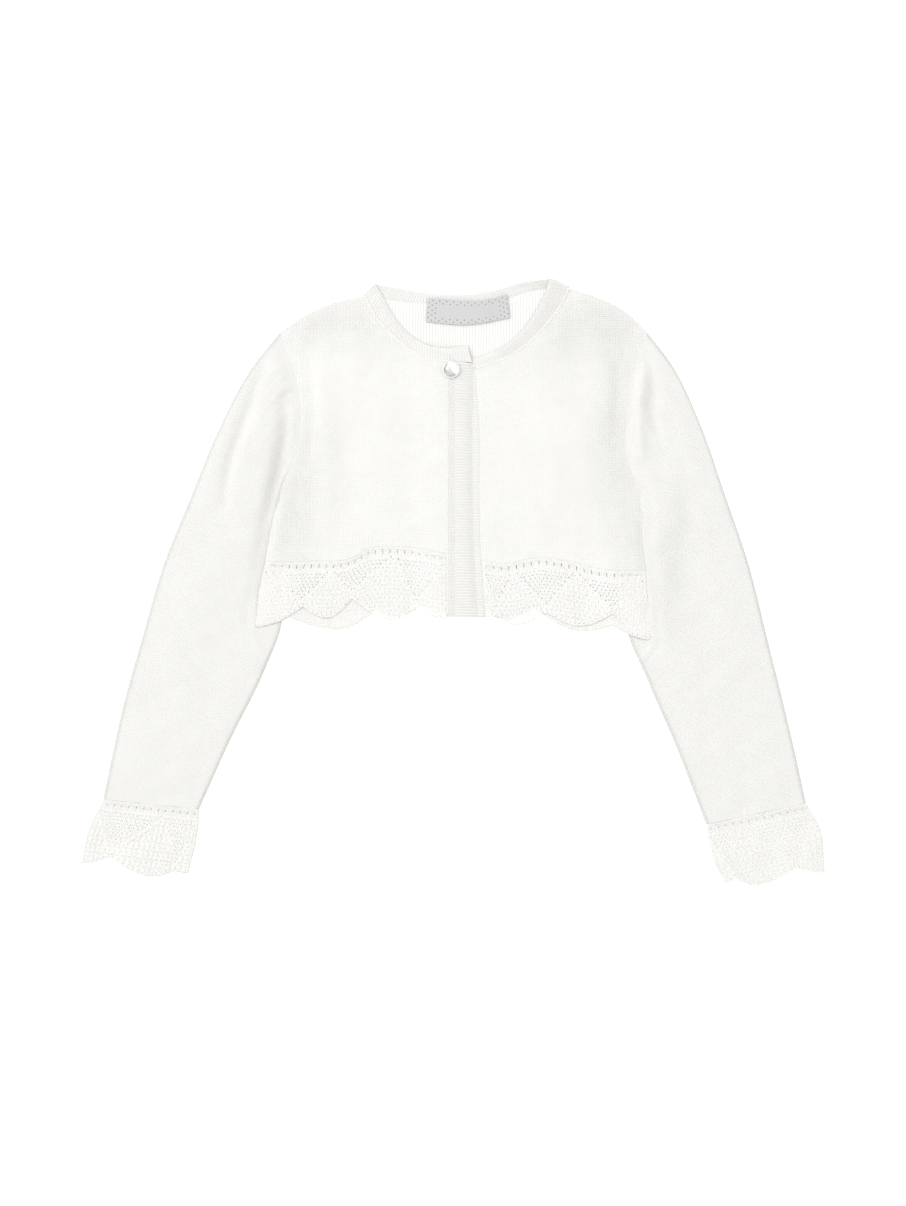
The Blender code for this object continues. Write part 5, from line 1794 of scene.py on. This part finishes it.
def chain_piece(name, path, chain, paint):
    """Linking stitches: wavy threads that pinch together at every stitch, and a core thread."""
    place = distances(path)
    count = round(place[-1] / chain.pitch) * CHAIN_SAMPLES + 1
    at = np.linspace(0.0, place[-1], count)
    line = np.stack([np.interp(at, place, path[:, axis]) for axis in range(3)], axis=-1)
    up = np.array([0.0, 0.0, 1.0])
    aside = unit_rows(np.cross(unit_rows(np.gradient(line, axis=0)), up))
    phase = 2 * math.pi * at / chain.pitch
    turn = np.linspace(0.0, 2 * math.pi, CHAIN_SIDES, endpoint=False)
    around = (aside[:, None] * np.cos(turn)[None, :, None]
              + up[None, None] * np.sin(turn)[None, :, None])
    thread_uv = np.dstack([np.repeat(at[:, None], CHAIN_SIDES, axis=1),
                           np.tile(turn * chain.thread, (count, 1))]).reshape(-1, 2)
    points, faces = [], []
    for number, way in enumerate(chain.ways):
        reach = way * (chain.pinch + (chain.half_width - chain.pinch) * (0.5 - 0.5 * np.cos(phase)))
        lift = STITCH_RISE * np.cos(phase) - (CORE_DROP if way == 0.0 else 0.0)
        core = line + aside * reach[:, None] + up * lift[:, None]
        first = number * count * CHAIN_SIDES
        points.append((core[:, None] + chain.thread * around).reshape(-1, 3))
        faces.append(grid_faces(count, CHAIN_SIDES, first, True))
        for row in (0, count - 1):
            ring = first + row * CHAIN_SIDES + np.arange(CHAIN_SIDES)
            faces.append(np.array([ring[[0, 1, 2, 3]], ring[[0, 3, 4, 5]]]))
    uv = np.tile(thread_uv, (len(chain.ways), 1))
    return add_piece(name, np.vstack(points), faces, uv, paint)


def front_band_edges(side):
    """The seam and the free edge of a front band, from its bottom up."""
    if side == "right":
        seam_line, _ = strip_edges(NECKBAND_RIGHT)
        seam_top = np.interp(-FRONT_EDGE_X, -seam_line[:, 0], seam_line[:, 1])
        seam_x = FRONT_EDGE_X + SEAM_GAP
        seam = np.array([(seam_x, BAND_BOTTOM_Y), (seam_x, seam_top + UPPER_TOP_LAP)])
        return seam, curve(UPPER_BAND_FREE)
    top = UNDER_BAND_TOP_Y + UNDER_TOP_LAP
    seam = curve(UNDER_BAND_SEAM) - np.array([SEAM_GAP, 0.0])
    seam = np.vstack([seam, seam[-1] + np.array([0.0, UNDER_TOP_LAP])])
    return seam, np.array([(UNDER_BAND_FREE_X, BAND_BOTTOM_Y), (UNDER_BAND_FREE_X, top)])


def make_front_band(side, paint, chain_paint):
    """A narrow ribbed front band; the upper one has a linked border along its seam."""
    upper = side == "right"
    seam, free = front_band_edges(side)
    base = 2 * LAYER if upper else LAYER
    length = seam[-1, 1] - seam[0, 1]
    places = rimmed(length, round(length / RIB_PITCH * STEPS_PER_RIB)) * length
    shares = places / length
    level = np.full((len(shares), 1), base + RIB_BASE / 2)
    seam_row, free_row = along(seam, shares), along(free, shares)
    raised = np.full(len(shares), 1.0 if upper else UNDER_RIB_SHARE)
    node = "front_band_" + side
    piece, width = strip_piece(node + "_cloth", np.hstack([seam_row, level]),
                               np.hstack([free_row, level]), np.tile([0.0, 0.0, 1.0], (len(shares), 1)),
                               raised, np.zeros(len(shares)), places, paint,
                               LINKED_WIDTH / UPPER_BAND_WIDTH if upper else 0.0,
                               DROOP if upper else 0.0)
    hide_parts(node)
    if upper:
        inside = (places > CHAIN_END) & (places < length - CHAIN_END)
        face = base + RIB_BASE
        for name, aside, rise, chain in (
                ("front_band_linking", LINKED_WIDTH / 2 + LINKING_ASIDE, LINKING_RISE, BAND_LINKING),
                ("front_band_seam", 0.0, 0.0, BAND_SEAM)):
            path = np.hstack([seam_row + np.array([aside, 0.0]), np.full((len(seam_row), 1), face + rise)])
            chain_piece(name, path[inside], chain, chain_paint)


def lying_band(table, level_of, facing):
    """Stations of one lying stretch of the neckband: seam, free edge and outer normals."""
    seam, free = strip_edges(table)
    shares = sampled((seam + free) / 2, RIB_PITCH / STEPS_PER_RIB)
    seam, free = along(seam, shares), along(free, shares)
    seam_z, free_z = level_of(seam) + RIB_BASE / 2, level_of(free) + RIB_BASE / 2
    normal = np.tile([0.0, 0.0, facing], (len(shares), 1))
    return np.column_stack([seam, seam_z]), np.column_stack([free, free_z]), normal


def folded_band(strip, downward):
    """Stations of the neckband where it turns over at a shoulder: seam, free edge and normals."""
    across = np.array([strip.free_x - strip.seam_x, strip.free_y - strip.seam_y])
    across /= np.linalg.norm(across)
    travel = np.array([-across[1], across[0]])
    if travel @ (np.array([strip.seam_x, strip.seam_y]) - np.array(NECK_CENTRE)) < 0:
        travel = -travel
    centre_z = (LAYER + RIB_BASE) / 2
    turn = np.linspace(0.0, math.pi, TURNOVER_STEPS + 2)[1:-1]
    if not downward:
        turn = turn[::-1]
    normal = np.column_stack([np.sin(turn)[:, None] * travel[None], np.cos(turn)])
    ends = []
    for x, y in ((strip.seam_x, strip.seam_y), (strip.free_x, strip.free_y)):
        ends.append(np.array([x, y, centre_z]) + normal * (LAYER / 2))
    return ends[0], ends[1], normal


def make_neckband(paint, chain_paint):
    """One ribbed strip round the neck, folded over at both shoulders, with its linked seam."""
    def upper(spots):
        fall = END_DROP + END_FALL * smoothstep((spots[:, 1] - END_FALL_Y) / END_FALL_RAMP)
        dropped = fall * smoothstep((spots[:, 0] - END_DROP_X) / END_DROP_RAMP)
        return LAYER + overlap_rise(spots) - dropped

    def upper_left(spots):
        return np.full(len(spots), LAYER)

    def lower(spots):
        return np.zeros(len(spots))

    stretches = [
        lying_band(NECKBAND_RIGHT, upper, 1.0),
        folded_band(NECKBAND_BACK[0], True),
        lying_band(NECKBAND_BACK, lower, -1.0),
        folded_band(NECKBAND_LEFT[0], False),
        lying_band(NECKBAND_LEFT, upper_left, 1.0),
    ]
    seam, free, normal = (np.vstack(rows) for rows in zip(*stretches))
    middle = (seam + free) / 2
    keep = np.concatenate([[True], np.linalg.norm(np.diff(middle, axis=0), axis=1) > SAME_PLACE])
    seam, free, normal, middle = seam[keep], free[keep], normal[keep], middle[keep]
    lengths = distances(middle)
    outer_rib = NECK_RIB_SHARE * smoothstep(normal[:, 2] + 1.0)
    inner_rib = NECK_RIB_SHARE * smoothstep(-normal[:, 2])
    piece, width = strip_piece("neckband_cloth", seam, free, normal, outer_rib, inner_rib, lengths,
                               paint)
    # Painted shade on the outer face towards the left
    on_left = smoothstep((middle[:, 0] - LEFT_NECK_X) / LEFT_NECK_RAMP)
    shade_and_stretch = LEFT_NECK_SHADE_AND_STRETCH * on_left * (normal[:, 2] > 0)
    set_shade_and_stretch(piece, np.repeat(shade_and_stretch, 2 * len(STRIP_SHARES)))
    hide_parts("neckband")
    right, _ = strip_edges(NECKBAND_RIGHT)
    left, _ = strip_edges(NECKBAND_LEFT)
    for side, line, level_of in (
            ("right", right[right[:, 0] < FRONT_EDGE_X + NECK_CHAIN_END], upper),
            ("left", left[left[:, 0] > UNDER_BAND_SEAM[-1].x], upper_left)):
        path = np.column_stack([line, level_of(line) + WALL - NECK_CHAIN_SINK])
        chain_piece("neck_linking_" + side, path, NECK_LINKING,
                                 chain_paint)


def make_label(paint):
    """The woven label's place on the back panel, without words."""
    top, bottom = curve(LABEL_TOP), curve(LABEL_BOTTOM)
    columns = rimmed(line_length(top), LABEL_COLUMNS)
    rows = rimmed(LABEL_LENGTH, LABEL_ROWS)
    low, high = along(bottom, columns), along(top, columns)
    plan = patch(low, high, along(np.array([low[0], high[0]]), rows),
                 along(np.array([low[-1], high[-1]]), rows))
    u = np.linspace(0.0, 1.0, plan.shape[1])[None] * np.ones(plan.shape[:2])
    bow = bulge(u, LABEL_RIDGE) + LABEL_BOW * np.sin(np.pi * u)
    middle = LAYER + LABEL_WALL / 2 + bow
    thick = LABEL_HALF * rolled(rim_distance(plan), LABEL_ROUND, LABEL_ROUND)
    across = (columns - 0.5) * line_length(top)
    down = (rows - 0.5) * LABEL_LENGTH
    uv = np.dstack(np.broadcast_arrays(across[None], down[:, None])).reshape(-1, 2)
    piece = add_wall("label_cloth", plan, middle, thick, uv, paint)
    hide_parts("label")


def make_button(pearl, metal):
    """A domed shank button: a metal rim round a pearl dome, turned about its axis."""
    foot = 2 * LAYER
    plate = foot + WALL + GAP
    rim = plate + BUTTON_RIM
    lip = BUTTON_RADIUS - BUTTON_LIP
    wide, high = BUTTON_ROUNDING
    profile = [(SHANK_RADIUS, foot + GAP), (SHANK_RADIUS, plate)]
    for degrees in ROUNDING_DEGREES:
        turn = math.radians(degrees)
        profile.append((BUTTON_RADIUS - wide + wide * math.cos(turn),
                        plate + high + high * math.sin(turn)))
    profile.append((lip, rim + DOME_INSET))
    for step in range(1, DOME_RINGS + 1):
        turn = step / DOME_RINGS * math.pi / 2
        profile.append((lip * math.cos(turn),
                        rim + DOME_INSET + (BUTTON_DOME - DOME_INSET) * math.sin(turn)))
    sides = BUTTON_SIDES
    turn = np.linspace(0.0, 2 * math.pi, sides, endpoint=False)
    rings = [np.column_stack([BUTTON_X + radius * np.cos(turn), BUTTON_Y + radius * np.sin(turn),
                              np.full(sides, z)]) for radius, z in profile[:-1]]
    top = np.array([[BUTTON_X, BUTTON_Y, profile[-1][1]]])
    bottom = np.array([[BUTTON_X, BUTTON_Y, profile[0][1]]])
    points = np.vstack([*rings, top, bottom])
    count = len(rings) * sides
    last = (len(rings) - 1) * sides + np.arange(sides)
    first = np.arange(sides)
    caps = [np.stack([last, np.roll(last, -1), np.full(sides, count)], axis=-1),
            np.stack([np.roll(first, -1), first, np.full(sides, count + 1)], axis=-1)]
    piece = add_piece("button_pearl_dome", points, [grid_faces(len(rings), sides, 0, True), *caps],
                      points[:, :2], pearl)
    piece.data.materials.append(metal)
    for face in piece.data.polygons:
        away = math.hypot(face.center.x - BUTTON_X * MM, face.center.y - BUTTON_Y * MM)
        if away > (lip + METAL_FROM_LIP) * MM or face.center.z < (plate + METAL_BELOW) * MM:
            face.material_index = 1
    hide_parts("button")


def make_camera():
    """Straight down, with the photograph's framing."""
    view = bpy.data.cameras.new("camera")
    view.lens = LENS
    view.sensor_width = SENSOR
    camera = bpy.data.objects.new("camera", view)
    distance = PHOTO_HEIGHT * MM_PER_PIXEL * LENS / SENSOR
    camera.location = (VIEW_CENTRE_X * MM, VIEW_CENTRE_Y * MM, (distance + LAYER) * MM)
    bpy.context.scene.collection.objects.link(camera)
    bpy.context.scene.camera = camera


def make_stage():
    """A pale floor under soft light from two large softboxes and a bright room."""
    bpy.ops.mesh.primitive_plane_add(size=FLOOR_SIZE, location=(0.0, 0.0, FLOOR_Z))
    floor = bpy.context.active_object
    floor.name = "floor"
    paint = bpy.data.materials.new("floor")
    paint.use_nodes = True
    shader = paint.node_tree.nodes["Principled BSDF"]
    shader.inputs["Base Color"].default_value = (FLOOR_WHITE, FLOOR_WHITE, FLOOR_WHITE, 1.0)
    shader.inputs["Roughness"].default_value = 1.0
    shader.inputs["Specular IOR Level"].default_value = 0.0
    shader.inputs["Emission Color"].default_value = (1.0, 1.0, 1.0, 1.0)
    shader.inputs["Emission Strength"].default_value = FLOOR_GLOW
    floor.data.materials.append(paint)
    world = bpy.data.worlds.new("room")
    world.use_nodes = True
    background = world.node_tree.nodes["Background"]
    background.inputs["Color"].default_value = (1.0, 1.0, 1.0, 1.0)
    background.inputs["Strength"].default_value = WORLD_LIGHT
    bpy.context.scene.world = world
    for name, place, power, size in SOFTBOXES:
        lamp = bpy.data.lights.new(name, "AREA")
        lamp.shape = "RECTANGLE"
        lamp.size = size
        lamp.size_y = SOFTBOX_SHAPE * size
        lamp.energy = power
        light = bpy.data.objects.new(name, lamp)
        light.location = place
        light.rotation_euler = (-Vector(place)).to_track_quat("-Z", "Y").to_euler()
        bpy.context.scene.collection.objects.link(light)
    bpy.context.scene.view_settings.view_transform = "Standard"


def main():
    """Builds the camera, the stage and every piece."""
    make_camera()
    make_stage()
    # Each piece's white is a lit or shaded copy of one cotton white, set lighter or darker as painted light
    # and shade
    jersey = knit_paint("cotton_jersey", SLEEVE_SHADED_WHITE, 0.00023, valley=0.15, shade=0.11)
    front = knit_paint("cotton_jersey_front", FRONT_LIT_WHITE, 0.0003)
    inside = knit_paint("cotton_jersey_inside", INSIDE_SHADED_WHITE, 0.0003, 0.1, 0.6, shade=0.15, legs=1)
    cuff = knit_paint("cotton_lace_cuff", CUFF_SHADED_WHITE, 0.00024, 0.4, 0.3, 0.06, soft=0.3, loops=0.7)
    lace = knit_paint("cotton_lace", LACE_WHITE, 0.00026, 0.4, 0.3, 0.08, soft=0.35, loops=1.0)
    under_lace = knit_paint("cotton_lace_back", UNDER_SHADED_WHITE, 0.00026, 0.4, 0.3, 0.1, loops=1.0)
    rib = knit_paint("cotton_rib", RIB_SHADED_WHITE, 0.0002, 0.5, 0.35)
    chain = knit_paint("linking_thread", CHAIN_SHADED_WHITE, 0.00012, 0.5, 0.5, 0.08)
    make_back(inside)
    for side in ("right", "left"):
        make_front(side, front)
        make_sleeve(side, jersey)
        make_cuff(side, cuff)
        make_front_band(side, rib, chain)
    make_hem_lace("back", under_lace)
    for side in ("right", "left"):
        make_hem_lace(side, lace)
    make_neckband(rib, chain)
    make_label(label_paint())
    make_button(pearl_paint(), rim_paint())


main()
